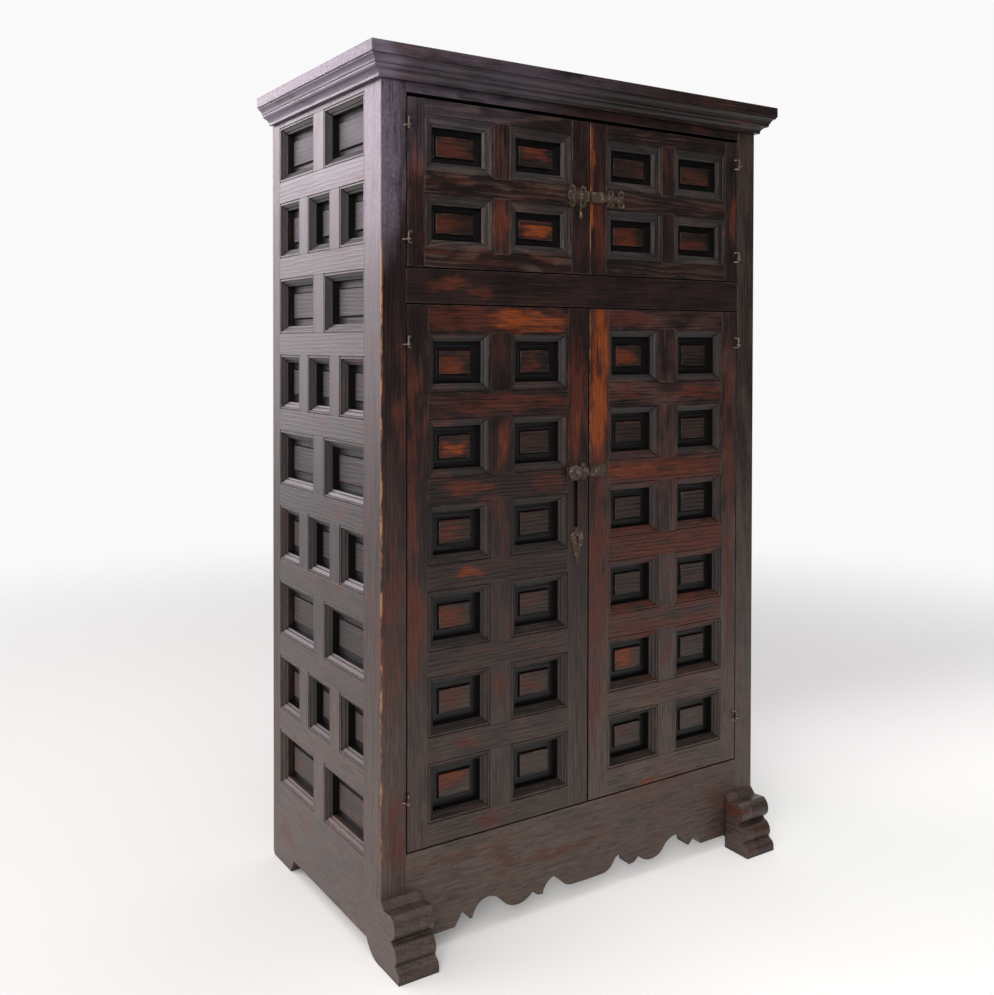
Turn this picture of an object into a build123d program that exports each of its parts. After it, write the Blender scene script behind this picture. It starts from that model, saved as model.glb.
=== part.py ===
"""A trastero: a coffered four-door cabinet on sled feet, with wrought-iron eye hinges and slide bolts.

Millimetres, +Z up. The origin is on the floor, midway between the sides and midway between the toes of
the feet and the back. The doors face -Y.
"""
from build123d import *
from collections import namedtuple
from functools import cache
from math import cos, hypot, pi, sin
import os

os.makedirs("parts", exist_ok=True)

# ---------------------------------------------------------------------------------------------------
# Driving dimensions
# ---------------------------------------------------------------------------------------------------

# Carcass
total_height = 1816.0
body_width = 1030.0            # over the corner posts
body_depth = 570.0             # front face to back face
top_board_thickness = 24.0
top_board_overhang = 40.0      # past the front and both sides
top_board_round = 1.5
cornice_height = 38.0
cornice_reach = 37.0           # how far the moulding stands out under the top board
cornice_lip = 3.0
upper_cove = (27.0, 15.0)      # where the upper cove ends: reach, and drop below the top board
cornice_quirk = 2.0
bead_end = (22.0, 23.0)
lower_cove = (10.0, 33.0)
cove_bow = 2.2
bead_bow = 1.6
post_round = 1.5
post_width = 56.0              # across the front
front_post_depth = 74.0
rear_post_depth = 44.0
frieze_height = 59.0
middle_rail_height = 70.0
apron_top = 210.0
upper_door_height = 337.0
frame_thickness = 35.0         # doors, side rails and side muntins
door_gap = 3.0                 # round a closed door
head_gap = 8.0                 # over the upper doors
meeting_gap = 4.0              # between a pair of doors
stop_clearance = 0.5           # behind a closed door
stop_lap = 8.0                 # how far a stop stands behind a door's edge
stop_thickness = 20.0
stop_height = 38.0

# Side walls
sled_height = 188.0            # top of the sled board between the posts
side_top_rail = 50.5
side_rail = 49.5
odd_row_muntin = 52.5
even_row_muntin = 46.0
side_rows = (2, 3, 2, 3, 2, 3, 2, 3, 2)

# Sled boards and feet; reaches are measured forward of the front face
front_seat_height = 131.0      # where the front post stands
rear_seat_height = 142.0
foot_reach = 76.0
foot_block_width = 33.0
chamfer_reach = 13.0
chamfer_drop = 14.0
shoulder_reach = 42.0
shoulder_rise = 3.0
nose_reach = 57.0
nose_height = 104.0
waist_reach = 42.0
waist_height = 72.0
waist_step = 5.0
belly_reach = 63.0
belly_height = 52.0
ankle_reach = 60.0
ankle_height = 30.0
ankle_step = 5.0
toe_height = 12.0
toe_bow = 2.5
front_heel = 8.0               # the flat under the front foot ends this far behind the front face
arch_start = 64.0
arch_bow = 9.1                 # how far the arch of the front foot hangs below its chord
relief_height = 31.0
rear_foot_length = 108.0
rear_foot_slope = 16.0
heel_chamfer = 8.0
post_tenon_length = 35.0
post_tenon_width = 24.0

# Apron: distances from the centre line, heights above the floor
apron_end_height = 30.0
apron_centre_height = 36.0
small_arch_foot = (46.0, 37.0)
small_arch_turn = (76.0, 57.0)
small_arch_crown = (94.0, 68.0)
small_arch_end = (122.0, 37.0)
small_tooth_foot = (136.0, 39.0)
small_tooth_nick = (149.0, 49.0)
lobe_start = (156.0, 44.0)
lobe_end = (222.0, 46.0)
large_arch_crown = (262.0, 71.0)
large_arch_end = (302.0, 37.0)
large_tooth_foot = (308.0, 37.0)
large_tooth_nick = (327.0, 57.0)
straight_start = 345.0
# How far the curves between those points bow out to the left, going outwards from the centre
turn_bow, crown_bow, small_arch_bow = -4.2, 3.2, 6.3
lobe_bow, shoulder_bow, large_arch_bow = -12.0, 5.5, 9.9

# Doors
DoorStyle = namedtuple(
    "DoorStyle",
    "rows top_rail bottom_rail rail hinge_stile meeting_stile muntin mould margin hinge_drop hinge_rise",
)
upper_doors = DoorStyle(
    rows=2, top_rail=30.0, bottom_rail=33.5, rail=40.0, hinge_stile=39.0, meeting_stile=46.0,
    muntin=40.0, mould=23.0, margin=15.0, hinge_drop=53.0, hinge_rise=58.0,
)
lower_left_door = DoorStyle(
    rows=6, top_rail=55.0, bottom_rail=45.5, rail=52.3, hinge_stile=47.5, meeting_stile=55.0,
    muntin=52.0, mould=18.0, margin=20.0, hinge_drop=75.0, hinge_rise=107.0,
)
lower_right_door = lower_left_door._replace(top_rail=43.5, bottom_rail=57.0)

# Coffers: the moulding stuck on the members, the grooves and the raised panels
side_mould = 18.0
side_margin = 18.0
quirk_width = 1.5
quirk_depth = 2.2
bead_drop = 0.6
bead_width = 5.5
step_depth = 3.0
slope_depth = 7.6              # where the slope ends, above the lip
lip_depth = 9.6
lip_width = 4.8
mould_depth = 12.0
groove_front = 27.0
groove_width = 4.5
groove_depth = 8.0
panel_clearance = 0.3
field_depth = 21.0             # front of a raised field, behind the face
field_bevel = 3.0

# Joints in the wood
tenon_thickness = 11.0
tenon_front = 11.0
tenon_shoulder = 6.0
rail_tenon = 28.0
muntin_tenon = 12.0
joint_clearance = 0.2

# Inside
board_thickness = 20.0
shelf_setback = 56.0           # behind the front face, clear of the lock
shelf_rails = (2, 4)           # the side rails, counted from the bottom, that carry the shelves
cleat_height = 25.0
cleat_width = 36.0
floor_cleat_width = 25.0
end_clearance = 1.0
back_board_thickness = 15.0
back_board_count = 6
back_board_gap = 1.0
back_rail_thickness = 25.0
back_rail_height = 40.0
top_back_rail_height = 60.0

# Eye hinges
eye_radius = 2.0               # iron of the upright eye on the door
ring_radius = 1.9              # iron of the ring on the post
hinge_clearance = 0.1
hinge_reach = 7.0              # hinge line, forward of the front face
eye_height = 22.0
eye_bend = 3.0
ring_drop = 5.0                # ring below the middle of the eye
leg_length = 28.0
leg_clearance = 0.05

# Slide bolts
plate_thickness = 2.0
slide_clearance = 0.1
guide_clearance = 0.3
guide_iron = 1.7
guide_width = 5.0
bar_thickness = 3.0
bar_setback = 2.5              # bar's end from the centre line when drawn
nail_radius = 2.6

upper_bolt_height = 1559.0
upper_bar_height = 19.0
upper_bar_tail = 62.0
upper_guides = (48.0, 7.5)     # from the centre line
upper_plate_centre = 33.0
upper_plate_width = 34.0
upper_plate_height = 26.0
scroll_radius = 9.0
scroll_eye = 3.2
scroll_spread = 30.0
scroll_rise = 31.0
keeper_sleeve = 34.0
keeper_scroll_centre = 75.0
keeper_scroll_rise = 23.0
keeper_strap_height = 15.0

pull_offset = 31.5
pull_standoff = 4.5            # pin in front of the bar
pull_drop = 6.0                # pin below the middle of the bar
pull_pin_radius = 1.2
pull_barrel_radius = 3.0
pull_barrel_width = 4.2
ear_thickness = 2.0
ear_gap = 0.3
pull_length = 45.0
pull_stem_radius = 1.5
pull_bulb_radius = 4.5
pull_bulb_height = 20.0        # from the end of the stem to the tip

lower_bolt_height = 951.0
lower_bar_height = 14.0
lower_bar_tail = 62.0
lower_guides = (57.0, 7.5)
lower_plate_length = 58.0
lower_plate_height = 26.0
lower_plate_lobe = 6.0         # radius of the lobes at its corners
lower_nails = (18.0, 10.4)     # from the centre line, and above and below the bar's middle
lower_keeper_length = 35.0
lower_sleeve = 20.0
knob_offset = 46.0
knob_radius = 17.0
knob_thickness = 7.0
knob_round = 4.2
knob_stem_radius = 5.0
knob_standoff = 4.0            # back of the knob in front of the bar

# Lock
lock_offset = 32.0             # keyhole from the centre line
keyhole_height = 806.0
keyhole_radius = 3.2
keyhole_slot_width = 3.0
keyhole_slot_length = 13.0
escutcheon_radius = 17.0
escutcheon_waist = (15.5, 7.0) # where the sides leave the round: out from, and below the keyhole
escutcheon_point = 56.0        # tip below the keyhole
escutcheon_finial = 5.0
escutcheon_thickness = 1.8
old_slot_offset = 36.0
old_slot_width = 12.0
old_slot_top = 935.0
old_slot_bottom = 830.0
old_slot_depth = 10.0
lock_case_width = 66.0
lock_case_height = 64.0
lock_case_depth = 14.0
lock_case_wall = 2.0
lock_case_setback = 4.0        # case from the centre line
lock_bolt_height = 10.0
lock_bolt_thickness = 5.0
lock_bolt_length = 52.0
lock_bolt_inset = 5.0          # front of the bolt behind the door's back
lock_rib_offset = 46.0

# ---------------------------------------------------------------------------------------------------
# Derived places
# ---------------------------------------------------------------------------------------------------

half_width = body_width / 2
front_y = (foot_reach - body_depth) / 2
frame_top = total_height - top_board_thickness
rail_thickness = frame_thickness + stop_clearance
inner_half_width = half_width - post_width
frieze_bottom = frame_top - frieze_height
upper_door_top = frieze_bottom - head_gap
upper_door_bottom = upper_door_top - upper_door_height
middle_rail_top = upper_door_bottom - door_gap
middle_rail_bottom = middle_rail_top - middle_rail_height
lower_door_top = middle_rail_bottom - door_gap
lower_door_bottom = apron_top + door_gap
back_rail_front = body_depth - back_board_thickness - back_rail_thickness
hinge_line = inner_half_width - door_gap / 2
bar_back = plate_thickness + slide_clearance
bar_front = bar_back + bar_thickness
ring_centre_radius = eye_radius + hinge_clearance + ring_radius

FRONT = Plane(origin=(0, front_y, 0), x_dir=(1, 0, 0), z_dir=(0, -1, 0))
LEFT, RIGHT = -1, 1
SIDE_NAMES = {LEFT: "left", RIGHT: "right"}

Rect = namedtuple("Rect", "left bottom right top")


def side_plane(side):
    """Outer face of one side wall, drawn with the height upwards."""
    return Plane(origin=(side * half_width, 0, 0), x_dir=(0, side, 0), z_dir=(side, 0, 0))


def across(side, depth_a, depth_b):
    """Two depths behind the front face as ordered coordinates on a side wall's plane."""
    return sorted((side * (front_y + depth_a), side * (front_y + depth_b)))


def on(plane, u, v, out=0.0):
    """A place on a face: u across, v up and out in front of it."""
    return plane.location * Location((u, v, out))


def middle(rect):
    return (rect.left + rect.right) / 2, (rect.bottom + rect.top) / 2


def size(rect):
    return rect.right - rect.left, rect.top - rect.bottom


def same(x, y):
    return x, y


def bowed(start, end, bow, at=same):
    """An arc whose middle stands off its chord by the bow, to the left of the way from start to end."""
    run, rise = end[0] - start[0], end[1] - start[1]
    chord = hypot(run, rise)
    centre_x = (start[0] + end[0]) / 2 - bow * rise / chord
    centre_y = (start[1] + end[1]) / 2 + bow * run / chord
    ThreePointArc(at(*start), at(centre_x, centre_y), at(*end))


def save(label, solids):
    """Write one node; a list of pieces becomes a group of separate solids."""
    node = Compound(children=solids) if isinstance(solids, list) else solids
    node.label = label
    export_step(node, f"parts/{label}.step")


# ---------------------------------------------------------------------------------------------------
# Coffered framing
# ---------------------------------------------------------------------------------------------------


def opening_grid(area, counts, rail, muntins):
    """Rows of openings from the bottom up, each row cut into its own number of equal openings."""
    height = (area.top - area.bottom - (len(counts) - 1) * rail) / len(counts)
    grid = []
    for row, (count, muntin) in enumerate(zip(counts, muntins)):
        bottom = area.bottom + row * (height + rail)
        width = (area.right - area.left - (count - 1) * muntin) / count
        lefts = [area.left + column * (width + muntin) for column in range(count)]
        grid.append([Rect(left, bottom, left + width, bottom + height) for left in lefts])
    return grid


def moulded_strip(opening, edge, mould):
    """Corners of the mitred strip that a member carries along one edge of an opening."""
    left, bottom, right, top = opening
    low_left, low_right = (left + mould, bottom + mould), (right - mould, bottom + mould)
    high_left, high_right = (left + mould, top - mould), (right - mould, top - mould)
    return {
        "left": [(left, bottom), low_left, high_left, (left, top)],
        "right": [(right, top), high_right, low_right, (right, bottom)],
        "bottom": [(right, bottom), low_right, low_left, (left, bottom)],
        "top": [(left, top), high_left, high_right, (right, top)],
    }[edge]


@cache
def coffer_tool(width, height, mould):
    """What is carved from the members round an opening: quirk, bead, slope, lip and panel groove."""
    lip = mould - lip_width
    with BuildPart() as tool:
        with BuildSketch():
            Rectangle(width, height)
            Rectangle(width - 2 * quirk_width, height - 2 * quirk_width, mode=Mode.SUBTRACT)
        extrude(amount=-quirk_depth)
        with BuildSketch():
            Rectangle(width, height)
        extrude(amount=-bead_drop)
        with BuildSketch():
            Rectangle(width - 2 * bead_width, height - 2 * bead_width)
        extrude(amount=-step_depth)
        for top, bottom, outer, inner in (
            (step_depth, slope_depth, bead_width, lip),
            (lip_depth, mould_depth, lip, mould),
        ):
            with BuildSketch(Plane.XY.offset(-top)):
                Rectangle(width - 2 * outer, height - 2 * outer)
            with BuildSketch(Plane.XY.offset(-bottom)):
                Rectangle(width - 2 * inner, height - 2 * inner)
            loft()
        with BuildSketch(Plane.XY.offset(-slope_depth)):
            Rectangle(width - 2 * lip, height - 2 * lip)
        extrude(amount=slope_depth - lip_depth)
        with BuildSketch(Plane.XY.offset(-groove_front)):
            Rectangle(width - 2 * (mould - groove_depth), height - 2 * (mould - groove_depth))
        extrude(amount=-groove_width)
    return tool.part


def side_tenons(flat):
    """Tenons at the left and right ends of a rail."""
    low, high = flat.bottom + tenon_shoulder, flat.top - tenon_shoulder
    return [
        Rect(flat.left - rail_tenon, low, flat.left, high),
        Rect(flat.right, low, flat.right + rail_tenon, high),
    ]


def end_tenons(flat):
    """Tenons at the lower and upper ends of a muntin."""
    left, right = flat.left + tenon_shoulder, flat.right - tenon_shoulder
    return [
        Rect(left, flat.bottom - muntin_tenon, right, flat.bottom),
        Rect(left, flat.top, right, flat.top + muntin_tenon),
    ]


def coffer_cuts(strips, mould):
    """The carving tool and its place for each opening that a member borders."""
    return [(coffer_tool(*size(opening), mould), middle(opening)) for opening, _ in strips]


def carve(plane, cuts, tenons, mortises=(), bores=()):
    """Cut the mouldings, joints and bores of the member that is being built."""
    for tool, place in cuts:
        with Locations(on(plane, *place)):
            add(tool, mode=Mode.SUBTRACT)
    for tenon in tenons:
        with Locations(on(plane, *middle(tenon), -tenon_front)):
            Box(*size(tenon), tenon_thickness, align=(Align.CENTER, Align.CENTER, Align.MAX))
    for mortise in mortises:
        width, height = size(mortise)
        with Locations(on(plane, *middle(mortise), joint_clearance - tenon_front)):
            Box(
                width + 2 * joint_clearance,
                height + 2 * joint_clearance,
                tenon_thickness + 2 * joint_clearance,
                align=(Align.CENTER, Align.CENTER, Align.MAX),
                mode=Mode.SUBTRACT,
            )
    for bore in bores:
        add(bore, mode=Mode.SUBTRACT)


def member(plane, thickness, flat, strips=(), mould=0.0, tenons=(), mortises=(), bores=()):
    """One stile, rail, muntin or post: a flat board with moulded edges, tenons and mortises."""
    cuts = coffer_cuts(strips, mould)
    with BuildPart() as piece:
        with BuildSketch(plane):
            with Locations(middle(flat)):
                Rectangle(*size(flat))
            for opening, edge in strips:
                Polygon(*moulded_strip(opening, edge, mould), align=None)
        extrude(amount=-thickness)
        carve(plane, cuts, tenons, mortises, bores)
    return piece.part


def raised_panel(plane, opening, mould, margin):
    """A panel with its tongue in the grooves and a bevelled field standing up in the middle."""
    sight_width, sight_height = (extent - 2 * mould for extent in size(opening))
    reach = 2 * (groove_depth - panel_clearance)
    u, v = middle(opening)
    with BuildPart() as panel:
        with BuildSketch(plane.offset(-groove_front)):
            with Locations((u, v)):
                Rectangle(sight_width + reach, sight_height + reach)
        extrude(amount=-(groove_width - panel_clearance))
        field_width, field_height = sight_width - 2 * margin, sight_height - 2 * margin
        with BuildSketch(plane.offset(-groove_front)):
            with Locations((u, v)):
                Rectangle(field_width + 2 * field_bevel, field_height + 2 * field_bevel)
        with BuildSketch(plane.offset(-field_depth)):
            with Locations((u, v)):
                Rectangle(field_width, field_height)
        loft()
    return panel.part


def muntin_flats(row):
    """The flats between neighbouring openings of a row."""
    return [Rect(a.right, a.bottom, b.left, a.top) for a, b in zip(row, row[1:])]


def rail_flats(area, grid):
    """The flats between neighbouring rows."""
    return [
        Rect(area.left, below[0].top, area.right, above[0].bottom)
        for below, above in zip(grid, grid[1:])
    ]


def muntins(plane, thickness, grid, mould):
    """All the muntins of a framed wall."""
    pieces = []
    for row in grid:
        for flat, left, right in zip(muntin_flats(row), row, row[1:]):
            strips = [(left, "right"), (right, "left")]
            pieces.append(member(plane, thickness, flat, strips, mould, end_tenons(flat)))
    return pieces


def rail_mortises(below, above):
    """Mortises in a rail for the muntins of the rows below and above it."""
    from_below = [end_tenons(flat)[1] for flat in muntin_flats(below)]
    from_above = [end_tenons(flat)[0] for flat in muntin_flats(above)]
    return from_below + from_above


def rail(plane, thickness, flat, below, above, mould):
    """A rail with the row below it and the row above it; either row may be empty."""
    strips = [(opening, "top") for opening in below] + [(opening, "bottom") for opening in above]
    return member(
        plane, thickness, flat, strips, mould, side_tenons(flat), rail_mortises(below, above)
    )


def panels(plane, grid, mould, margin):
    return [raised_panel(plane, opening, mould, margin) for row in grid for opening in row]


# ---------------------------------------------------------------------------------------------------
# Eye hinges
# ---------------------------------------------------------------------------------------------------


def hinge_point(hand, height, away, along):
    """A point at a distance from the hinge line, on the diagonal into the door or into the post."""
    x = hand * (hinge_line + away * along * cos(pi / 4))
    y = front_y - hinge_reach + along * sin(pi / 4)
    return Vector(x, y, height)


def door_eye(hand, height, radius):
    """Upright eye on the hinge line, its two legs driven slantwise into the door's stile."""
    top, bottom = height + eye_height / 2, height - eye_height / 2
    with BuildPart() as eye:
        with BuildLine() as path:
            FilletPolyline(
                hinge_point(hand, top, -1, leg_length),
                hinge_point(hand, top, -1, 0),
                hinge_point(hand, bottom, -1, 0),
                hinge_point(hand, bottom, -1, leg_length),
                radius=eye_bend,
            )
        with BuildSketch(Plane(origin=path.line @ 0, z_dir=path.line % 0)):
            Circle(radius)
        sweep()
    return eye.part


def ring_leg(hand, height, radius):
    """The straight leg of a ring, from the ring into the post."""
    start = hinge_point(hand, height - ring_drop, 1, ring_centre_radius)
    end = hinge_point(hand, height - ring_drop, 1, leg_length)
    with BuildPart() as leg:
        with BuildSketch(Plane(origin=start, z_dir=end - start)):
            Circle(radius)
        extrude(amount=(end - start).length)
    return leg.part


def frame_eye(hand, height):
    """Level ring round the upright eye, on a leg driven slantwise into the post."""
    leg = ring_leg(hand, height, ring_radius)
    with BuildPart() as eye:
        with Locations(hinge_point(hand, height - ring_drop, 1, 0)):
            Torus(ring_centre_radius, ring_radius)
        add(leg)
    return eye.part


def hinge_heights(bottom, top, style):
    return [bottom + style.hinge_rise, top - style.hinge_drop]


# ---------------------------------------------------------------------------------------------------
# Doors
# ---------------------------------------------------------------------------------------------------


def build_door(name, hand, bottom, top, style, meeting_bores=()):
    """One door: two stiles, rails, muntins, panels and the eyes of its two hinges."""
    edges = sorted((hand * meeting_gap / 2, hand * (inner_half_width - door_gap)))
    outline = Rect(edges[0], bottom, edges[1], top)
    stiles = [style.hinge_stile, style.meeting_stile][::-hand]
    area = Rect(
        outline.left + stiles[0],
        bottom + style.bottom_rail,
        outline.right - stiles[1],
        top - style.top_rail,
    )
    grid = opening_grid(area, [2] * style.rows, style.rail, [style.muntin] * style.rows)
    flats = rail_flats(area, grid)
    bottom_flat = Rect(area.left, bottom, area.right, area.bottom)
    top_flat = Rect(area.left, area.top, area.right, top)
    all_flats = [bottom_flat, *flats, top_flat]

    heights = hinge_heights(bottom, top, style)
    leg_bores = [door_eye(hand, height, eye_radius + leg_clearance) for height in heights]
    bores = [leg_bores, meeting_bores][::-hand]
    left_stile = member(
        FRONT, frame_thickness, Rect(outline.left, bottom, area.left, top),
        [(row[0], "left") for row in grid], style.mould,
        mortises=[side_tenons(flat)[0] for flat in all_flats], bores=bores[0],
    )
    right_stile = member(
        FRONT, frame_thickness, Rect(area.right, bottom, outline.right, top),
        [(row[-1], "right") for row in grid], style.mould,
        mortises=[side_tenons(flat)[1] for flat in all_flats], bores=bores[1],
    )
    belows = [[], *grid]
    aboves = [*grid, []]
    rails = [
        rail(FRONT, frame_thickness, flat, below, above, style.mould)
        for flat, below, above in zip(all_flats, belows, aboves)
    ]
    save(f"{name}_stiles", [left_stile, right_stile])
    save(f"{name}_rails", rails)
    save(f"{name}_muntins", muntins(FRONT, frame_thickness, grid, style.mould))
    save(f"{name}_panels", panels(FRONT, grid, style.mould, style.margin))
    save(f"{name}_hinge_eyes", [door_eye(hand, height, eye_radius) for height in heights])


def keyhole():
    """The keyhole as a solid that runs through the keyhole plate and the door."""
    with BuildPart() as hole:
        with BuildSketch(FRONT.offset(escutcheon_thickness)):
            with Locations((-lock_offset, keyhole_height)):
                Circle(keyhole_radius)
            with Locations((-lock_offset, keyhole_height - keyhole_slot_length / 2)):
                Rectangle(keyhole_slot_width, keyhole_slot_length)
        extrude(amount=-escutcheon_thickness - frame_thickness)
    return hole.part


def old_slot():
    """Shallow upright slot below the lower bolt, left by an older fastening."""
    with BuildPart() as slot:
        with BuildSketch(FRONT):
            with Locations((-old_slot_offset, (old_slot_top + old_slot_bottom) / 2)):
                Rectangle(old_slot_width, old_slot_top - old_slot_bottom)
        extrude(amount=-old_slot_depth)
    return slot.part


build_door("upper_left_door", LEFT, upper_door_bottom, upper_door_top, upper_doors)
build_door("upper_right_door", RIGHT, upper_door_bottom, upper_door_top, upper_doors)
build_door(
    "lower_left_door", LEFT, lower_door_bottom, lower_door_top, lower_left_door,
    meeting_bores=[keyhole(), old_slot()],
)
build_door("lower_right_door", RIGHT, lower_door_bottom, lower_door_top, lower_right_door)

all_hinge_heights = [
    *hinge_heights(upper_door_bottom, upper_door_top, upper_doors),
    *hinge_heights(lower_door_bottom, lower_door_top, lower_left_door),
]
save(
    "frame_hinge_eyes",
    [frame_eye(hand, height) for hand in (LEFT, RIGHT) for height in all_hinge_heights],
)

# ---------------------------------------------------------------------------------------------------
# Front cross members
# ---------------------------------------------------------------------------------------------------

frieze_flat = Rect(-inner_half_width, frieze_bottom, inner_half_width, frame_top)
middle_flat = Rect(-inner_half_width, middle_rail_bottom, inner_half_width, middle_rail_top)
apron_tenon_flat = Rect(-inner_half_width, front_seat_height, inner_half_width, apron_top)

save("frieze_rail", member(FRONT, rail_thickness, frieze_flat, tenons=side_tenons(frieze_flat)))
save("middle_rail", member(FRONT, rail_thickness, middle_flat, tenons=side_tenons(middle_flat)))

with BuildPart() as apron_board:
    with BuildSketch(FRONT):
        with BuildLine():
            Polyline((0, apron_top), (0, apron_centre_height), small_arch_foot)
            bowed(small_arch_foot, small_arch_turn, turn_bow)
            bowed(small_arch_turn, small_arch_crown, crown_bow)
            bowed(small_arch_crown, small_arch_end, small_arch_bow)
            Polyline(small_arch_end, small_tooth_foot, small_tooth_nick, lobe_start)
            bowed(lobe_start, lobe_end, lobe_bow)
            bowed(lobe_end, large_arch_crown, shoulder_bow)
            bowed(large_arch_crown, large_arch_end, large_arch_bow)
            Polyline(
                large_arch_end,
                large_tooth_foot,
                large_tooth_nick,
                (straight_start, apron_end_height),
                (inner_half_width, apron_end_height),
                (inner_half_width, apron_top),
                (0, apron_top),
            )
        make_face()
        mirror(about=Plane.YZ)
    extrude(amount=-rail_thickness)
    carve(FRONT, (), side_tenons(apron_tenon_flat))
save("apron_board", apron_board.part)

# ---------------------------------------------------------------------------------------------------
# Side walls, posts, sled boards and feet
# ---------------------------------------------------------------------------------------------------


def foot_scroll(at):
    """Front edge of a foot, from the seat of the post down to the toe."""
    chamfer_low = front_seat_height - chamfer_drop
    Polyline(
        at(0, front_seat_height),
        at(-chamfer_reach, chamfer_low),
        at(-shoulder_reach, chamfer_low + shoulder_rise),
    )
    ThreePointArc(
        at(-shoulder_reach, chamfer_low + shoulder_rise),
        at(-nose_reach, nose_height),
        at(-waist_reach, waist_height),
    )
    Line(at(-waist_reach, waist_height), at(-waist_reach - waist_step, waist_height - waist_step))
    ThreePointArc(
        at(-waist_reach - waist_step, waist_height - waist_step),
        at(-belly_reach, belly_height),
        at(-ankle_reach, ankle_height),
    )
    ankle_out = ankle_reach + ankle_step
    ankle_low = ankle_height - ankle_step
    Line(at(-ankle_reach, ankle_height), at(-ankle_out, ankle_low))
    bowed((-ankle_out, ankle_low), (-foot_reach, toe_height), -toe_bow, at)
    Line(at(-foot_reach, toe_height), at(-foot_reach, 0))


def sled_outline(at):
    """The rest of a sled board's outline: its underside, heel, top and the seats of the posts."""
    heel_start = body_depth - rear_foot_length
    Line(at(-foot_reach, 0), at(front_heel, 0))
    bowed((front_heel, 0), (arch_start, relief_height), -arch_bow, at)
    Polyline(
        at(arch_start, relief_height),
        at(heel_start - rear_foot_slope, relief_height),
        at(heel_start, 0),
        at(body_depth - heel_chamfer, 0),
        at(body_depth, heel_chamfer),
        at(body_depth, rear_seat_height),
        at(body_depth - rear_post_depth, rear_seat_height),
        at(body_depth - rear_post_depth, sled_height),
        at(front_post_depth, sled_height),
        at(front_post_depth, front_seat_height),
        at(0, front_seat_height),
    )


def post_tenon(plane, side, depth, seat, clearance, mode):
    """The tenon under a post, or with a clearance the mortise for it in the sled board."""
    spread = 2 * clearance
    with Locations(on(plane, side * (front_y + depth), seat, -post_width / 2)):
        Box(
            post_tenon_width + spread,
            post_tenon_length + clearance,
            tenon_thickness + spread,
            align=(Align.CENTER, Align.MAX, Align.CENTER),
            mode=mode,
        )


def build_side(side):
    """One side wall with its posts, sled board and foot block."""
    plane = side_plane(side)
    name = SIDE_NAMES[side]

    def at(depth, height):
        return side * (front_y + depth), height

    rear_line = body_depth - rear_post_depth
    left, right = across(side, front_post_depth, rear_line)
    area = Rect(left, sled_height, right, frame_top - side_top_rail)
    widths = {2: odd_row_muntin, 3: even_row_muntin}
    grid = opening_grid(area, side_rows, side_rail, [widths[count] for count in side_rows])
    flats = rail_flats(area, grid)
    top_flat = Rect(area.left, area.top, area.right, frame_top)
    all_flats = [*flats, top_flat]
    belows = grid
    aboves = [*grid[1:], []]
    save(f"{name}_side_rails", [
        rail(plane, frame_thickness, flat, below, above, side_mould)
        for flat, below, above in zip(all_flats, belows, aboves)
    ])
    save(f"{name}_side_muntins", muntins(plane, frame_thickness, grid, side_mould))
    save(f"{name}_side_panels", panels(plane, grid, side_mould, side_margin))

    # On the left wall the front post is at the right of the drawing, on the right wall at its left.
    front_end, rear_end = (1, 0) if side == LEFT else (0, 1)
    edges = ("left", "right")
    columns = (0, -1)
    leg_bores = [
        ring_leg(side, height, ring_radius + leg_clearance) for height in all_hinge_heights
    ]
    front_flat_left, front_flat_right = across(side, 0, front_post_depth)
    rear_flat_left, rear_flat_right = across(side, rear_line, body_depth)
    front_shaft = member(
        plane, post_width,
        Rect(front_flat_left, front_seat_height, front_flat_right, frame_top),
        [(row[columns[front_end]], edges[front_end]) for row in grid], side_mould,
        mortises=[side_tenons(flat)[front_end] for flat in all_flats], bores=leg_bores,
    )
    cross_flats = (frieze_flat, middle_flat, apron_tenon_flat)
    cross_tenons = [side_tenons(flat)[rear_end] for flat in cross_flats]
    corner = (side * half_width, front_y, (front_seat_height + frame_top) / 2)
    with BuildPart() as front_post:
        add(front_shaft)
        fillet(front_post.edges().filter_by(Axis.Z).sort_by_distance(corner)[0], radius=post_round)
        post_tenon(plane, side, front_post_depth / 2, front_seat_height, 0.0, Mode.ADD)
        carve(FRONT, (), (), cross_tenons)
    save(f"{name}_front_post", front_post.part)

    rear_shaft = member(
        plane, post_width,
        Rect(rear_flat_left, rear_seat_height, rear_flat_right, frame_top),
        [(row[columns[rear_end]], edges[rear_end]) for row in grid], side_mould,
        mortises=[side_tenons(flat)[rear_end] for flat in all_flats],
    )
    rear_middle = body_depth - rear_post_depth / 2
    with BuildPart() as rear_post:
        add(rear_shaft)
        post_tenon(plane, side, rear_middle, rear_seat_height, 0.0, Mode.ADD)
    save(f"{name}_rear_post", rear_post.part)

    cuts = coffer_cuts([(opening, "bottom") for opening in grid[0]], side_mould)
    with BuildPart() as sled_board:
        with BuildSketch(plane):
            with BuildLine():
                foot_scroll(at)
                sled_outline(at)
            make_face()
            for opening in grid[0]:
                Polygon(*moulded_strip(opening, "bottom", side_mould), align=None)
        extrude(amount=-post_width)
        carve(plane, cuts, (), rail_mortises([], grid[0]))
        post_tenon(
            plane, side, front_post_depth / 2, front_seat_height, joint_clearance, Mode.SUBTRACT
        )
        post_tenon(plane, side, rear_middle, rear_seat_height, joint_clearance, Mode.SUBTRACT)
    save(f"{name}_sled_board", sled_board.part)

    with BuildPart() as foot_block:
        with BuildSketch(plane.offset(-post_width)):
            with BuildLine():
                foot_scroll(at)
                Polyline(at(-foot_reach, 0), at(0, 0), at(0, front_seat_height))
            make_face()
        extrude(amount=-foot_block_width)
    save(f"{name}_foot_block", foot_block.part)
    return flats


side_flats = build_side(LEFT)
build_side(RIGHT)

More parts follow.
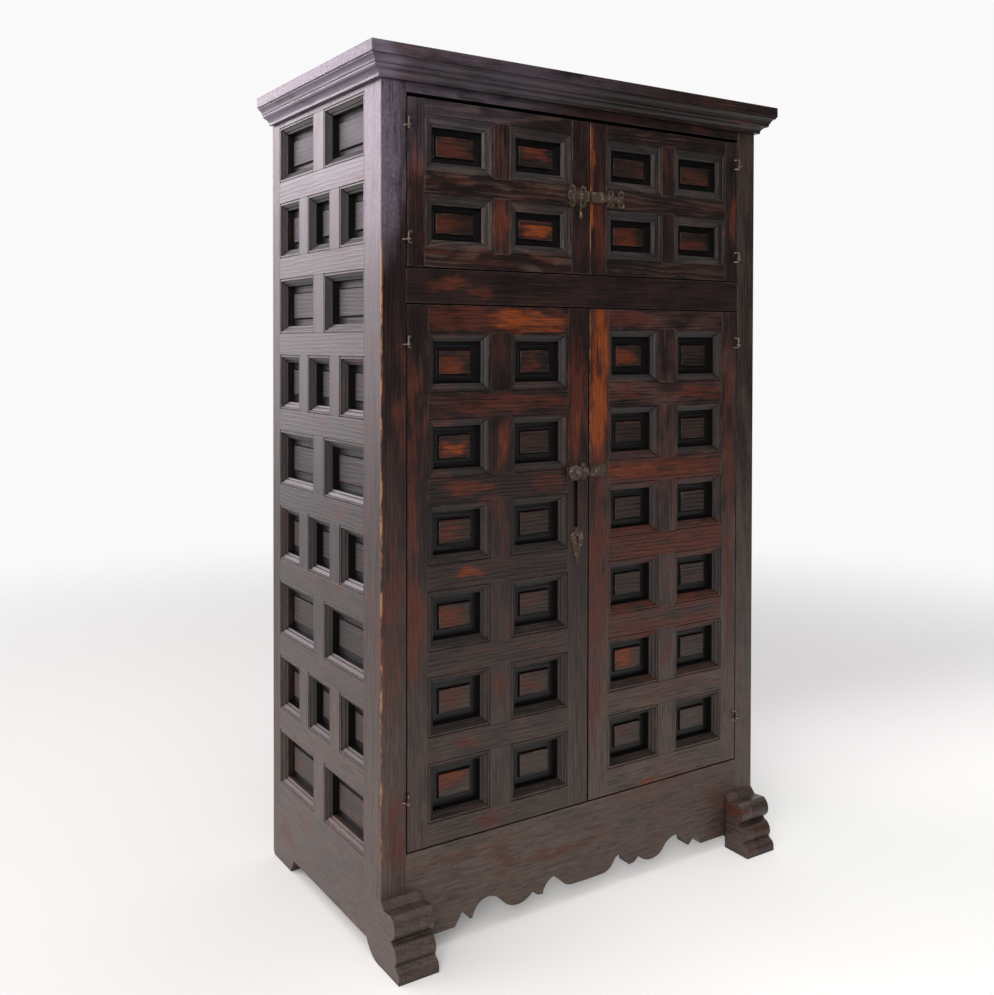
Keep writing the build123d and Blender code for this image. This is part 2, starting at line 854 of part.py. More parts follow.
# ---------------------------------------------------------------------------------------------------
# Top board and cornice
# ---------------------------------------------------------------------------------------------------

with BuildPart() as top_board:
    with Locations((0, front_y - top_board_overhang, frame_top)):
        Box(
            body_width + 2 * top_board_overhang,
            body_depth + top_board_overhang,
            top_board_thickness,
            align=(Align.CENTER, Align.MIN, Align.MIN),
        )
    fillet(top_board.edges(), radius=top_board_round)
save("top_board", top_board.part)


def cornice_strip(plane, length, mitres):
    """A length of cornice moulding; the plane's x points out of the cabinet and its y points up."""
    lip_end = (cornice_reach, -cornice_lip)
    upper_cove_end = (upper_cove[0], -upper_cove[1])
    bead_start = (upper_cove[0] - cornice_quirk, -upper_cove[1])
    lower_cove_start = (bead_end[0], -bead_end[1])
    lower_cove_end = (lower_cove[0], -lower_cove[1])
    with BuildPart() as strip:
        with BuildSketch(plane):
            with BuildLine():
                Polyline((0, 0), (cornice_reach, 0), lip_end)
                bowed(lip_end, upper_cove_end, -cove_bow)
                Line(upper_cove_end, bead_start)
                bowed(bead_start, lower_cove_start, bead_bow)
                bowed(lower_cove_start, lower_cove_end, -cove_bow)
                Polyline(lower_cove_end, (lower_cove[0], -cornice_height), (0, -cornice_height), (0, 0))
            make_face()
        extrude(amount=length)
        for mitre in mitres:
            split(bisect_by=mitre, keep=Keep.TOP)
    return strip.part


def mitre_plane(side, facing):
    """Vertical plane at 45 degrees through a front corner; facing 1 looks to the front strip."""
    corner = (side * half_width, front_y, 0)
    return Plane(origin=corner, z_dir=(-side * facing, -facing, 0))


front_length = 2 * (half_width + cornice_reach)
side_length = body_depth + cornice_reach
front_profile = Plane(
    origin=(front_length / 2, front_y, frame_top), x_dir=(0, -1, 0), z_dir=(-1, 0, 0)
)
front_strip = cornice_strip(front_profile, front_length, [mitre_plane(LEFT, 1), mitre_plane(RIGHT, 1)])
left_profile = Plane(
    origin=(-half_width, front_y - cornice_reach, frame_top), x_dir=(-1, 0, 0), z_dir=(0, 1, 0)
)
left_strip = cornice_strip(left_profile, side_length, [mitre_plane(LEFT, -1)])
right_profile = Plane(
    origin=(half_width, front_y + body_depth, frame_top), x_dir=(1, 0, 0), z_dir=(0, -1, 0)
)
right_strip = cornice_strip(right_profile, side_length, [mitre_plane(RIGHT, -1)])
save("cornice_mouldings", [front_strip, left_strip, right_strip])

# ---------------------------------------------------------------------------------------------------
# Inside: floor, shelves, deck, cleats, stops and back
# ---------------------------------------------------------------------------------------------------


def level_board(top, front_depth):
    """A board across the cabinet, from a depth behind the front face back to the back boards."""
    back = body_depth - back_board_thickness - stop_clearance
    with BuildPart() as board:
        with Locations((0, front_y + front_depth, top)):
            Box(
                2 * (inner_half_width - end_clearance),
                back - front_depth,
                board_thickness,
                align=(Align.CENTER, Align.MIN, Align.MAX),
            )
    return board.part


def cleats(top, outer, width):
    """A pair of cleats between the posts, from the given half-width inwards."""
    front = front_post_depth + side_mould
    back = body_depth - rear_post_depth - side_mould
    pieces = []
    for side in (LEFT, RIGHT):
        with BuildPart() as cleat:
            with Locations((side * (outer - width / 2), front_y + front, top)):
                Box(width, back - front, cleat_height, align=(Align.CENTER, Align.MIN, Align.MAX))
        pieces.append(cleat.part)
    return pieces


def cross_strip(bottom, top, front_depth, thickness):
    """A strip across the cabinet between the posts."""
    with BuildPart() as strip:
        with Locations((0, front_y + front_depth, bottom)):
            Box(
                2 * inner_half_width,
                thickness,
                top - bottom,
                align=(Align.CENTER, Align.MIN, Align.MIN),
            )
    return strip.part


floor_top = apron_top + stop_lap
deck_top = middle_rail_top + stop_lap
shelf_tops = [side_flats[index - 1].top + board_thickness for index in shelf_rails]
wall_inside = half_width - frame_thickness

save("floor_board", level_board(floor_top, rail_thickness))
save("upper_deck", level_board(deck_top, rail_thickness))
save("lower_shelf", level_board(shelf_tops[0], shelf_setback))
save("middle_shelf", level_board(shelf_tops[1], shelf_setback))
save("shelf_cleats", [
    *cleats(floor_top - board_thickness, inner_half_width, floor_cleat_width),
    *(piece for top in [*shelf_tops, deck_top]
      for piece in cleats(top - board_thickness, wall_inside, cleat_width)),
])
save("door_stops", [
    cross_strip(lower_door_top - stop_lap, lower_door_top - stop_lap + stop_height,
                rail_thickness, stop_thickness),
    cross_strip(upper_door_top - stop_lap, upper_door_top - stop_lap + stop_height,
                rail_thickness, stop_thickness),
])
save("back_rails", [
    cross_strip(floor_top - board_thickness - back_rail_height, floor_top - board_thickness,
                back_rail_front, back_rail_thickness),
    cross_strip(deck_top - board_thickness - back_rail_height, deck_top - board_thickness,
                back_rail_front, back_rail_thickness),
    cross_strip(frame_top - top_back_rail_height, frame_top, back_rail_front, back_rail_thickness),
])

board_width = (2 * inner_half_width - (back_board_count - 1) * back_board_gap) / back_board_count
board_height = frame_top - rear_seat_height
back_boards = []
for index in range(back_board_count):
    board_left = -inner_half_width + index * (board_width + back_board_gap)
    with BuildPart() as back_board:
        with Locations((board_left, front_y + body_depth, rear_seat_height)):
            Box(
                board_width,
                back_board_thickness,
                board_height,
                align=(Align.MIN, Align.MAX, Align.MIN),
            )
    back_boards.append(back_board.part)
save("back_boards", back_boards)

# ---------------------------------------------------------------------------------------------------
# Slide bolts and keepers
# ---------------------------------------------------------------------------------------------------


def scroll_outline(centre, height, width, body_height, spread, rise):
    """A plate with a scroll at each corner, pierced in the eye of every scroll."""
    with Locations((centre, height)):
        Rectangle(width, body_height)
        with GridLocations(spread, rise, 2, 2):
            Circle(scroll_radius)
        with GridLocations(spread, rise, 2, 2):
            Circle(scroll_eye, mode=Mode.SUBTRACT)


def bar_guide(x, height, bar_height, width):
    """A bridge over a bar, standing on a plate on the front face."""
    inner_height = bar_height + 2 * guide_clearance
    inner_front = bar_front + guide_clearance
    with Locations(on(FRONT, x, height)):
        Box(
            width,
            inner_height + 2 * guide_iron,
            inner_front + guide_iron,
            align=(Align.CENTER, Align.CENTER, Align.MIN),
        )
    with Locations(on(FRONT, x, height, plate_thickness)):
        Box(
            width,
            inner_height,
            inner_front - plate_thickness,
            align=(Align.CENTER, Align.CENTER, Align.MIN),
            mode=Mode.SUBTRACT,
        )


def nail_heads(points, out):
    """Low domed nail heads on a plate."""
    for x, height in points:
        with Locations(on(FRONT, x, height, out)):
            Cone(nail_radius, nail_radius / 2, nail_radius / 2,
                 align=(Align.CENTER, Align.CENTER, Align.MIN))


with BuildPart() as upper_bolt_plate:
    with BuildSketch(FRONT):
        scroll_outline(
            -upper_plate_centre, upper_bolt_height, upper_plate_width, upper_plate_height,
            scroll_spread, scroll_rise,
        )
    extrude(amount=plate_thickness)
    for guide in upper_guides:
        bar_guide(-guide, upper_bolt_height, upper_bar_height, guide_width)
    nail_heads(
        [(-upper_plate_centre, upper_bolt_height + sign * scroll_rise / 2) for sign in (-1, 1)],
        plate_thickness,
    )
save("upper_bolt_plate", upper_bolt_plate.part)

ear_outer = pull_barrel_width / 2 + ear_gap + ear_thickness
pull_pin_out = bar_front + pull_standoff
pull_pin_height = upper_bolt_height - pull_drop
with BuildPart() as upper_bolt:
    with Locations(on(FRONT, -bar_setback, upper_bolt_height, bar_back)):
        Box(
            upper_bar_tail - bar_setback,
            upper_bar_height,
            bar_thickness,
            align=(Align.MAX, Align.CENTER, Align.MIN),
        )
    for sign in (-1, 1):
        ear_middle = -pull_offset + sign * (ear_outer - ear_thickness / 2)
        with Locations(on(FRONT, ear_middle, pull_pin_height, bar_front)):
            Box(
                ear_thickness,
                2 * pull_barrel_radius,
                pull_standoff + pull_barrel_radius,
                align=(Align.CENTER, Align.CENTER, Align.MIN),
            )
    with Locations(on(FRONT, -pull_offset, pull_pin_height, pull_pin_out)):
        Cylinder(pull_pin_radius, 2 * ear_outer, rotation=(0, 90, 0))
save("upper_bolt", upper_bolt.part)

with BuildPart() as upper_bolt_pull:
    with Locations(on(FRONT, -pull_offset, pull_pin_height, pull_pin_out)):
        Cylinder(pull_barrel_radius, pull_barrel_width, rotation=(0, 90, 0))
    pull_plane = Plane(
        origin=on(FRONT, -pull_offset, pull_pin_height, pull_pin_out).position,
        x_dir=(1, 0, 0),
        z_dir=(0, -1, 0),
    )
    stem_end = pull_bulb_height - pull_length
    bulb_middle = pull_bulb_radius - pull_length
    with BuildSketch(pull_plane):
        with BuildLine():
            Polyline(
                (0, -pull_length),
                (0, -pull_pin_radius),
                (pull_stem_radius, -pull_pin_radius),
                (pull_stem_radius, stem_end),
                (pull_bulb_radius, bulb_middle),
            )
            RadiusArc((pull_bulb_radius, bulb_middle), (0, -pull_length), pull_bulb_radius)
        make_face()
    revolve(axis=Axis(pull_plane.origin, (0, 0, 1)))
    with Locations(on(FRONT, -pull_offset, pull_pin_height, pull_pin_out)):
        Cylinder(
            pull_pin_radius + hinge_clearance, 2 * ear_outer, rotation=(0, 90, 0),
            mode=Mode.SUBTRACT,
        )
save("upper_bolt_pull", upper_bolt_pull.part)

with BuildPart() as upper_keeper:
    with BuildSketch(FRONT):
        strap_end = keeper_scroll_centre
        with Locations(((bar_setback + strap_end) / 2, upper_bolt_height)):
            Rectangle(strap_end - bar_setback, keeper_strap_height)
        scroll_outline(
            keeper_scroll_centre, upper_bolt_height, upper_plate_width, keeper_strap_height,
            scroll_spread, keeper_scroll_rise,
        )
    extrude(amount=plate_thickness)
    bar_guide(
        bar_setback + keeper_sleeve / 2, upper_bolt_height, upper_bar_height, keeper_sleeve
    )
    nail_heads([(keeper_scroll_centre, upper_bolt_height)], plate_thickness)
save("upper_keeper", upper_keeper.part)

with BuildPart() as lower_bolt_plate:
    with BuildSketch(FRONT):
        plate_middle = -bar_setback - lower_plate_length / 2
        with Locations((plate_middle, lower_bolt_height)):
            Rectangle(lower_plate_length, lower_plate_height)
            with GridLocations(lower_plate_length - lower_plate_height, lower_plate_height, 2, 2):
                Circle(lower_plate_lobe)
    extrude(amount=plate_thickness)
    for guide in lower_guides:
        bar_guide(-guide, lower_bolt_height, lower_bar_height, guide_width)
    nail_offset, nail_rise = lower_nails
    nail_heads(
        [(-nail_offset, lower_bolt_height + sign * nail_rise) for sign in (-1, 1)],
        plate_thickness,
    )
save("lower_bolt_plate", lower_bolt_plate.part)

with BuildPart() as lower_bolt:
    with Locations(on(FRONT, -bar_setback, lower_bolt_height, bar_back)):
        Box(
            lower_bar_tail - bar_setback,
            lower_bar_height,
            bar_thickness,
            align=(Align.MAX, Align.CENTER, Align.MIN),
        )
    with Locations(on(FRONT, -knob_offset, lower_bolt_height, bar_front)):
        Cylinder(knob_stem_radius, knob_standoff, align=(Align.CENTER, Align.CENTER, Align.MIN))
    with Locations(on(FRONT, -knob_offset, lower_bolt_height, bar_front + knob_standoff)):
        Cylinder(knob_radius, knob_thickness, align=(Align.CENTER, Align.CENTER, Align.MIN))
    fillet(lower_bolt.edges().filter_by(GeomType.CIRCLE).sort_by(Axis.Y)[0], radius=knob_round)
save("lower_bolt", lower_bolt.part)

with BuildPart() as lower_keeper:
    with BuildSketch(FRONT):
        with Locations((bar_setback + lower_keeper_length / 2, lower_bolt_height)):
            Rectangle(lower_keeper_length, lower_plate_height)
        with Locations((bar_setback + lower_keeper_length, lower_bolt_height)):
            Circle(lower_plate_height / 2)
    extrude(amount=plate_thickness)
    bar_guide(
        bar_setback + lower_sleeve / 2, lower_bolt_height, lower_bar_height, lower_sleeve
    )
    nail_heads([(bar_setback + lower_keeper_length, lower_bolt_height)], plate_thickness)
save("lower_keeper", lower_keeper.part)

# ---------------------------------------------------------------------------------------------------
# Keyhole plate and lock
# ---------------------------------------------------------------------------------------------------

plate_hole = keyhole()
waist_out, waist_drop = escutcheon_waist
with BuildPart() as keyhole_plate:
    with BuildSketch(FRONT):
        with Locations((-lock_offset, keyhole_height)):
            Circle(escutcheon_radius)
            Polygon(
                (-waist_out, -waist_drop),
                (waist_out, -waist_drop),
                (0, -escutcheon_point),
                align=None,
            )
        with Locations((-lock_offset, keyhole_height + escutcheon_radius)):
            Circle(escutcheon_finial)
    extrude(amount=escutcheon_thickness)
    add(plate_hole, mode=Mode.SUBTRACT)
save("keyhole_plate", keyhole_plate.part)

case_middle = -lock_case_setback - lock_case_width / 2
case_bottom_out = -frame_thickness - lock_case_depth
lock_bolt_out = -frame_thickness - lock_bolt_inset
with BuildPart() as lock_case:
    with Locations(on(FRONT, case_middle, keyhole_height, case_bottom_out)):
        Box(
            lock_case_width, lock_case_height, lock_case_depth,
            align=(Align.CENTER, Align.CENTER, Align.MIN),
        )
    with Locations(on(FRONT, case_middle, keyhole_height, case_bottom_out + lock_case_wall)):
        Box(
            lock_case_width - 2 * lock_case_wall,
            lock_case_height - 2 * lock_case_wall,
            lock_case_depth,
            align=(Align.CENTER, Align.CENTER, Align.MIN),
            mode=Mode.SUBTRACT,
        )
    with Locations(on(FRONT, -lock_rib_offset, keyhole_height, case_bottom_out)):
        Box(
            lock_case_wall, lock_case_height, lock_case_depth,
            align=(Align.CENTER, Align.CENTER, Align.MIN),
        )
    with Locations(on(FRONT, 0, keyhole_height, lock_bolt_out + guide_clearance)):
        Box(
            lock_bolt_length + lock_case_setback + lock_case_wall,
            lock_bolt_height + 2 * guide_clearance,
            lock_bolt_thickness + 2 * guide_clearance,
            align=(Align.MAX, Align.CENTER, Align.MAX),
            mode=Mode.SUBTRACT,
        )
save("lock_case", lock_case.part)

with BuildPart() as lock_bolt:
    with Locations(on(FRONT, -lock_case_setback, keyhole_height, lock_bolt_out)):
        Box(
            lock_bolt_length,
            lock_bolt_height,
            lock_bolt_thickness,
            align=(Align.MAX, Align.CENTER, Align.MAX),
        )
save("lock_bolt", lock_bolt.part)
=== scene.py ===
"""Looks for the coffered cabinet: stained pine worn to red, forged iron, a pale floor and soft light."""
import math

import bpy
from mathutils import Euler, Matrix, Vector


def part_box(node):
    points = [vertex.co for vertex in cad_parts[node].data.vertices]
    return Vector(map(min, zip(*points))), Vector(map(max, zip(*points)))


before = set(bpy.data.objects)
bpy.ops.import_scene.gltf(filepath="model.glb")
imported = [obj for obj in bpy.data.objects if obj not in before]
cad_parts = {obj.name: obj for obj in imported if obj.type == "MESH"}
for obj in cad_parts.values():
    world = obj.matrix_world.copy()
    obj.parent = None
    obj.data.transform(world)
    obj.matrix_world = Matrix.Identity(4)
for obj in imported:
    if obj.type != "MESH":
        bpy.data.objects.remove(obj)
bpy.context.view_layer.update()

# The cabinet's main places, in metres. MOULD_DEPTH and FIELD_DEPTH are how far behind the outer face the
# coffers are painted black, as shade and dark wax, on frame pieces and on panels, and COFFER_EDGE is the
# depth over which they do.
FRONT_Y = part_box("middle_rail")[0].y
HALF_WIDTH = -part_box("left_side_rails")[0].x
MOULD_DEPTH = 0.0112
FIELD_DEPTH = 0.0222
COFFER_EDGE = 0.0012

# Finishes, as linear colours
# Black of old wax in the grain's streaks, also painted as the shade in hollows, creases and coffers
BLACK_WAX_AND_SHADE = (0.0030, 0.0022, 0.0022, 1)
BLACK_STAIN = (0.0085, 0.0046, 0.0042, 1)
BROWN_STAIN = (0.0280, 0.0120, 0.0100, 1)
# Colours of the mouldings' sloped faces: a painted shade, paler lower down as a painted reflection of the
# floor
MOULDING_SHADE = (0.0090, 0.0058, 0.0050, 1)
MOULDING_FLOOR_SHEEN = (0.0165, 0.0125, 0.0100, 1)
APRON_BLACK = (0.0110, 0.0072, 0.0064, 1)
FOOT_BLACK = (0.0160, 0.0110, 0.0090, 1)
POST_BLACK = (0.0160, 0.0110, 0.0100, 1)
RED_WOOD = (0.0860, 0.0185, 0.0095, 1)
ORANGE_WOOD = (0.2500, 0.0520, 0.0080, 1)
PALE_GRAIN = (0.0900, 0.0560, 0.0420, 1)
# The feet's brown, made paler as a painted light on the low parts
FOOT_BROWN_AND_LIGHT = (0.0680, 0.0420, 0.0310, 1)
BARE_WOOD = (0.3300, 0.1500, 0.0700, 1)
# A pale arris colour: wear, and a painted glint on the arrises
ARRIS_WEAR_AND_GLINT = (0.1900, 0.1350, 0.1250, 1)
# A painted sheen: pale reflections of light on the wax
PAINTED_SHEEN = (0.1450, 0.1180, 0.1600, 1)
# A painted light from the floor, which pales the stain low down
FLOOR_LIGHT_PAINT = (0.1080, 0.0720, 0.0570, 1)
DRY_DARK = (0.0330, 0.0190, 0.0130, 1)
DRY_LIGHT = (0.0720, 0.0420, 0.0270, 1)
INNER_DARK = (0.0820, 0.0490, 0.0315, 1)
INNER_LIGHT = (0.1300, 0.0790, 0.0485, 1)
IRON_DARK = (0.0340, 0.0240, 0.0180, 1)
IRON_RUST = (0.0750, 0.0360, 0.0200, 1)
# Rubbed iron with a painted glint
IRON_RUBBED_AND_GLINT = (0.3000, 0.2500, 0.2150, 1)

# Noises: scale per metre, detail and roughness. The scale's first number runs along the grain, but along x
# in patches, in dots and in the iron's.
NOISES = {
    "wander": ((1.8, 11, 11), 2.0, 0.5),
    "fibres": ((26, 560, 560), 2.0, 0.6),
    "streaks": ((9, 250, 250), 3.0, 0.65),
    "mottle": ((9, 26, 26), 5.0, 0.64),
    "patches": ((3.4, 3.4, 3.4), 2.0, 0.5),
    "chipped": ((26, 90, 90), 4.0, 0.70),
    "dots": ((340, 340, 130), 3.0, 0.7),
    "iron_scale": ((140, 140, 140), 4.0, 0.65),
    "iron_pits": ((650, 650, 650), 2.0, 0.5),
    "iron_spots": ((120, 120, 120), 5.0, 0.65),
}
JITTER_SCALE = (14, 60, 60)
JITTER_DETAIL = 4.0

# Bands in which a mask rises from 0 to 1, or falls from 1 to 0 where the larger value comes first
BANDS = {
    # Heights over the floor, in metres, over which a painted light from the floor pales the stain and the
    # mouldings' painted shade
    "floor_light_band": (1.15, 0.10),
    "floor_sheen_height": (1.42, 0.90),
    # Worn places: distance from an oval's centre, noises, and how bare the wood is
    "oval": (1.30, 0.55),
    "worn_mottle": (0.46, 0.66),
    "worn_patches": (0.38, 0.66),
    "broken": (0.30, 0.56),
    "red": (0.02, 0.42),
    "orange": (0.36, 0.95),
    # The stain and its marks, and noises that break up the painted light from the floor, the painted floor
    # sheen on the mouldings and the painted sheen's dots, all cut from noises but pale_rings, which is cut
    # from the growth rings
    "stain": (0.38, 0.64),
    "floor_light_mottle": (0.15, 0.60),
    "floor_sheen_mottle": (0.30, 0.62),
    "ring_streaks": (0.36, 0.60),
    "dark_fibres": (0.54, 0.38),
    "black_streaks": (0.44, 0.34),
    "pale_rings": (0.05, 0.40),
    "pale_mottle": (0.36, 0.58),
    "scuff_streaks": (0.60, 0.70),
    "scuff_patches": (0.42, 0.60),
    "ragged_line": (0.34, 0.50),
    "chip_core": (0.44, 0.60),
    "dots": (0.42, 0.60),
    "dry": (0.30, 0.70),
    # Faces: how square they are to the front or the side, how far they turn into the cabinet, where
    # side_back is the normal's x times the place's, and how sharply they turn at an edge
    "sloping": (0.995, 0.96),
    "door_back": (0.4, 0.7),
    "side_back": (-0.15, -0.30),
    "turned_edge": (0.992, 0.94),
    # Shade from nearby faces
    "open_corner": (0.30, 0.12),
    "shut_corner": (0.12, 0.34),
    "hollow": (0.30, 0.70),
    # Rust, cut from the noise of the iron's scale
    "rust": (0.38, 0.62),
}

# How far a mark covers what lies under it, and how much each form adds to the relief
COVER = {"moulding": 0.85, "rings": 0.35, "fibres": 0.55, "streaks": 0.50, "scuffs": 0.45, "spots": 0.7}
RELIEF = {"rings": 0.30, "streaks": 0.70, "fibres": 0.35, "iron_scale": 0.7, "iron_pits": 0.3}

# The grain of the wood
SEED_SHIFT = (1.7, 0.31, 0.13)
MOTTLE_IN_MIX = 0.70
STREAKS_IN_MIX = 0.30
RING_SLANT = 0.3
RING_RAGGEDNESS = 1.5
FULL_TURN = 6.2832
LATE_WOOD_SHARPNESS = 3.0

# Worn places and arrises; lengths in metres
SHOVE = 0.035
LINE_FADE = 0.02
LINE_CORE = 0.45
ARRIS_EASE = 0.0026
CORNER_REACH = 0.006
HOLLOW_REACH = 0.030
CHIP_BAND = (0.62, 0.76)
CHIP_REACH = 0.24
CHIP_LEAST = 0.30
CHIP_GAIN = 0.60

# Surface of the wood and the iron; depths in metres
WOOD_RELIEF_DEPTH = 0.0011
WOOD_SPECULAR = 0.33
MOTTLE_ROUGHNESS = 0.16
BARE_ROUGHNESS = 0.10
SPOT_BAND = (0.60, 0.76)
SPOT_REACH = (0.3, 0.2)
IRON_EASE = 0.0006
IRON_RELIEF = 0.7
IRON_DEPTH = 0.0008
IRON_ROUGHNESS = 0.45
SCALE_ROUGHNESS = 0.3
IRON_METALLIC = 0.30
SPOT_METALLIC = 0.5

BEVEL_SAMPLES = 4
SHADE_SAMPLES = 5


class Graph:
    """Adds nodes to a shader tree and returns their sockets."""

    def __init__(self, tree):
        self.tree = tree

    def add(self, kind, inputs, **settings):
        """A node whose inputs are linked where a socket is given, and set where a value is."""
        node = self.tree.nodes.new("ShaderNode" + kind)
        for name, value in settings.items():
            setattr(node, name, value)
        for key, value in inputs.items():
            if isinstance(value, bpy.types.NodeSocket):
                self.tree.links.new(value, node.inputs[key])
            else:
                node.inputs[key].default_value = value
        return node

    def math(self, operation, a, b=0.0):
        return self.add("Math", {0: a, 1: b}, operation=operation).outputs[0]

    def times(self, a, b):
        return self.math("MULTIPLY", a, b)

    def total(self, values):
        result = values[0]
        for value in values[1:]:
            result = self.math("ADD", result, value)
        return result

    def most(self, values):
        result = values[0]
        for value in values[1:]:
            result = self.math("MAXIMUM", result, value)
        return result

    def step(self, value, low, high):
        """0 below low and 1 above high, smooth between; it falls instead where low is above high."""
        node = self.add(
            "MapRange", {0: value, 1: min(low, high), 2: max(low, high)}, interpolation_type="SMOOTHSTEP"
        )
        return node.outputs[0] if low < high else self.math("SUBTRACT", 1.0, node.outputs[0])

    def band(self, value, name):
        """The step that BANDS gives under a name."""
        return self.step(value, *BANDS[name])

    def mix(self, factor, a, b):
        """Colour a where the factor is 0, colour b where it is 1."""
        return self.add("Mix", {0: factor, 6: a, 7: b}, data_type="RGBA").outputs[2]

    def pick(self, factor, a, b):
        """Vector a where the factor is 0, vector b where it is 1."""
        return self.add("Mix", {0: factor, 4: a, 5: b}, data_type="VECTOR").outputs[1]

    def scaled(self, vector, scale, offset=(0, 0, 0)):
        return self.add("Mapping", {0: vector, 1: offset, 3: scale}).outputs[0]

    def noise(self, vector, name):
        """The noise that NOISES gives under a name."""
        scale, detail, roughness = NOISES[name]
        place = self.scaled(vector, scale)
        inputs = {"Vector": place, "Scale": 1.0, "Detail": detail, "Roughness": roughness}
        return self.add("TexNoise", inputs).outputs[0]

    def parts(self, vector):
        return self.add("SeparateXYZ", {0: vector}).outputs

    def vector(self, x, y, z):
        return self.add("CombineXYZ", {0: x, 1: y, 2: z}).outputs[0]


def new_material(name):
    """A material with an empty node tree, and the graph that fills it."""
    material = bpy.data.materials.new(name)
    material.use_nodes = True
    material.node_tree.nodes.clear()
    return material, Graph(material.node_tree)


def finish_material(graph, **sockets):
    """Principled surface with the given sockets, its fixed values set on the shader itself."""
    shader = graph.add("BsdfPrincipled", {})
    for key, value in sockets.items():
        key = key.replace("_", " ")
        if isinstance(value, bpy.types.NodeSocket):
            graph.tree.links.new(value, shader.inputs[key])
        else:
            shader.inputs[key].default_value = value
    output = graph.tree.nodes.new("ShaderNodeOutputMaterial")
    graph.tree.links.new(shader.outputs[0], output.inputs[0])


def zone_mask(graph, place, zone):
    """A soft oval on the front: centre x and z, half width and half height, and strength."""
    x, z, half_x, half_z, strength = zone
    spread = graph.scaled(place, (1 / half_x, 0, 1 / half_z), (-x / half_x, 0, -z / half_z))
    away = graph.add("VectorMath", {0: spread}, operation="LENGTH").outputs["Value"]
    return graph.times(graph.band(away, "oval"), strength)


def shade_of(graph, reach):
    """0 on an open face and up to 1 in a corner, from the faces within reach."""
    node = graph.add("AmbientOcclusion", {"Distance": reach}, samples=SHADE_SAMPLES)
    return graph.math("SUBTRACT", 1.0, node.outputs["AO"])


def grain_space(graph, place, grain, seed):
    """The place with its first axis along the grain and its second across the board's face."""
    x, y, z = graph.parts(place)
    orders = {"x": (x, z, y), "y": (y, z, x), "z": (z, x, y), "x flat": (x, y, z)}
    if grain == "mitred":
        out_side = graph.math("SUBTRACT", graph.math("ABSOLUTE", x), HALF_WIDTH)
        out_front = graph.math("SUBTRACT", FRONT_Y, y)
        on_side = graph.math("GREATER_THAN", out_side, out_front)
        along = graph.pick(on_side, graph.vector(*orders["x"]), graph.vector(*orders["y"]))
    else:
        along = graph.vector(*orders[grain])
    return graph.scaled(along, (1, 1, 1), [seed * shift for shift in SEED_SHIFT])


def depth_behind_face(graph, place, face):
    """How far a place lies behind the front, or behind the outer face of the side walls."""
    x, y, _ = graph.parts(place)
    if face == "front":
        return graph.math("SUBTRACT", y, FRONT_Y)
    return graph.math("SUBTRACT", HALF_WIDTH, graph.math("ABSOLUTE", x))


def inner_face(graph, place, normal, face):
    """1 on a face turned into the cabinet, away from the outer side that the coffers belong to."""
    along_x, along_y, _ = graph.parts(normal)
    if face == "front":
        return graph.band(along_y, "door_back")
    return graph.band(graph.times(along_x, graph.parts(place)[0]), "side_back")


def edge_line(graph, place, line):
    """A line down an upright arris of the front: its x, half width, lowest and highest z, and strength."""
    edge_x, half_width, low_z, high_z, strength = line
    x, y, z = graph.parts(place)
    aside = graph.math("ABSOLUTE", graph.math("SUBTRACT", x, edge_x))
    behind = graph.math("SUBTRACT", y, FRONT_Y)
    near = graph.step(graph.math("MAXIMUM", aside, behind), half_width, half_width * LINE_CORE)
    span = graph.times(
        graph.step(z, low_z - LINE_FADE, low_z + LINE_FADE),
        graph.step(z, high_z + LINE_FADE, high_z - LINE_FADE),
    )
    return graph.times(graph.times(near, span), strength)


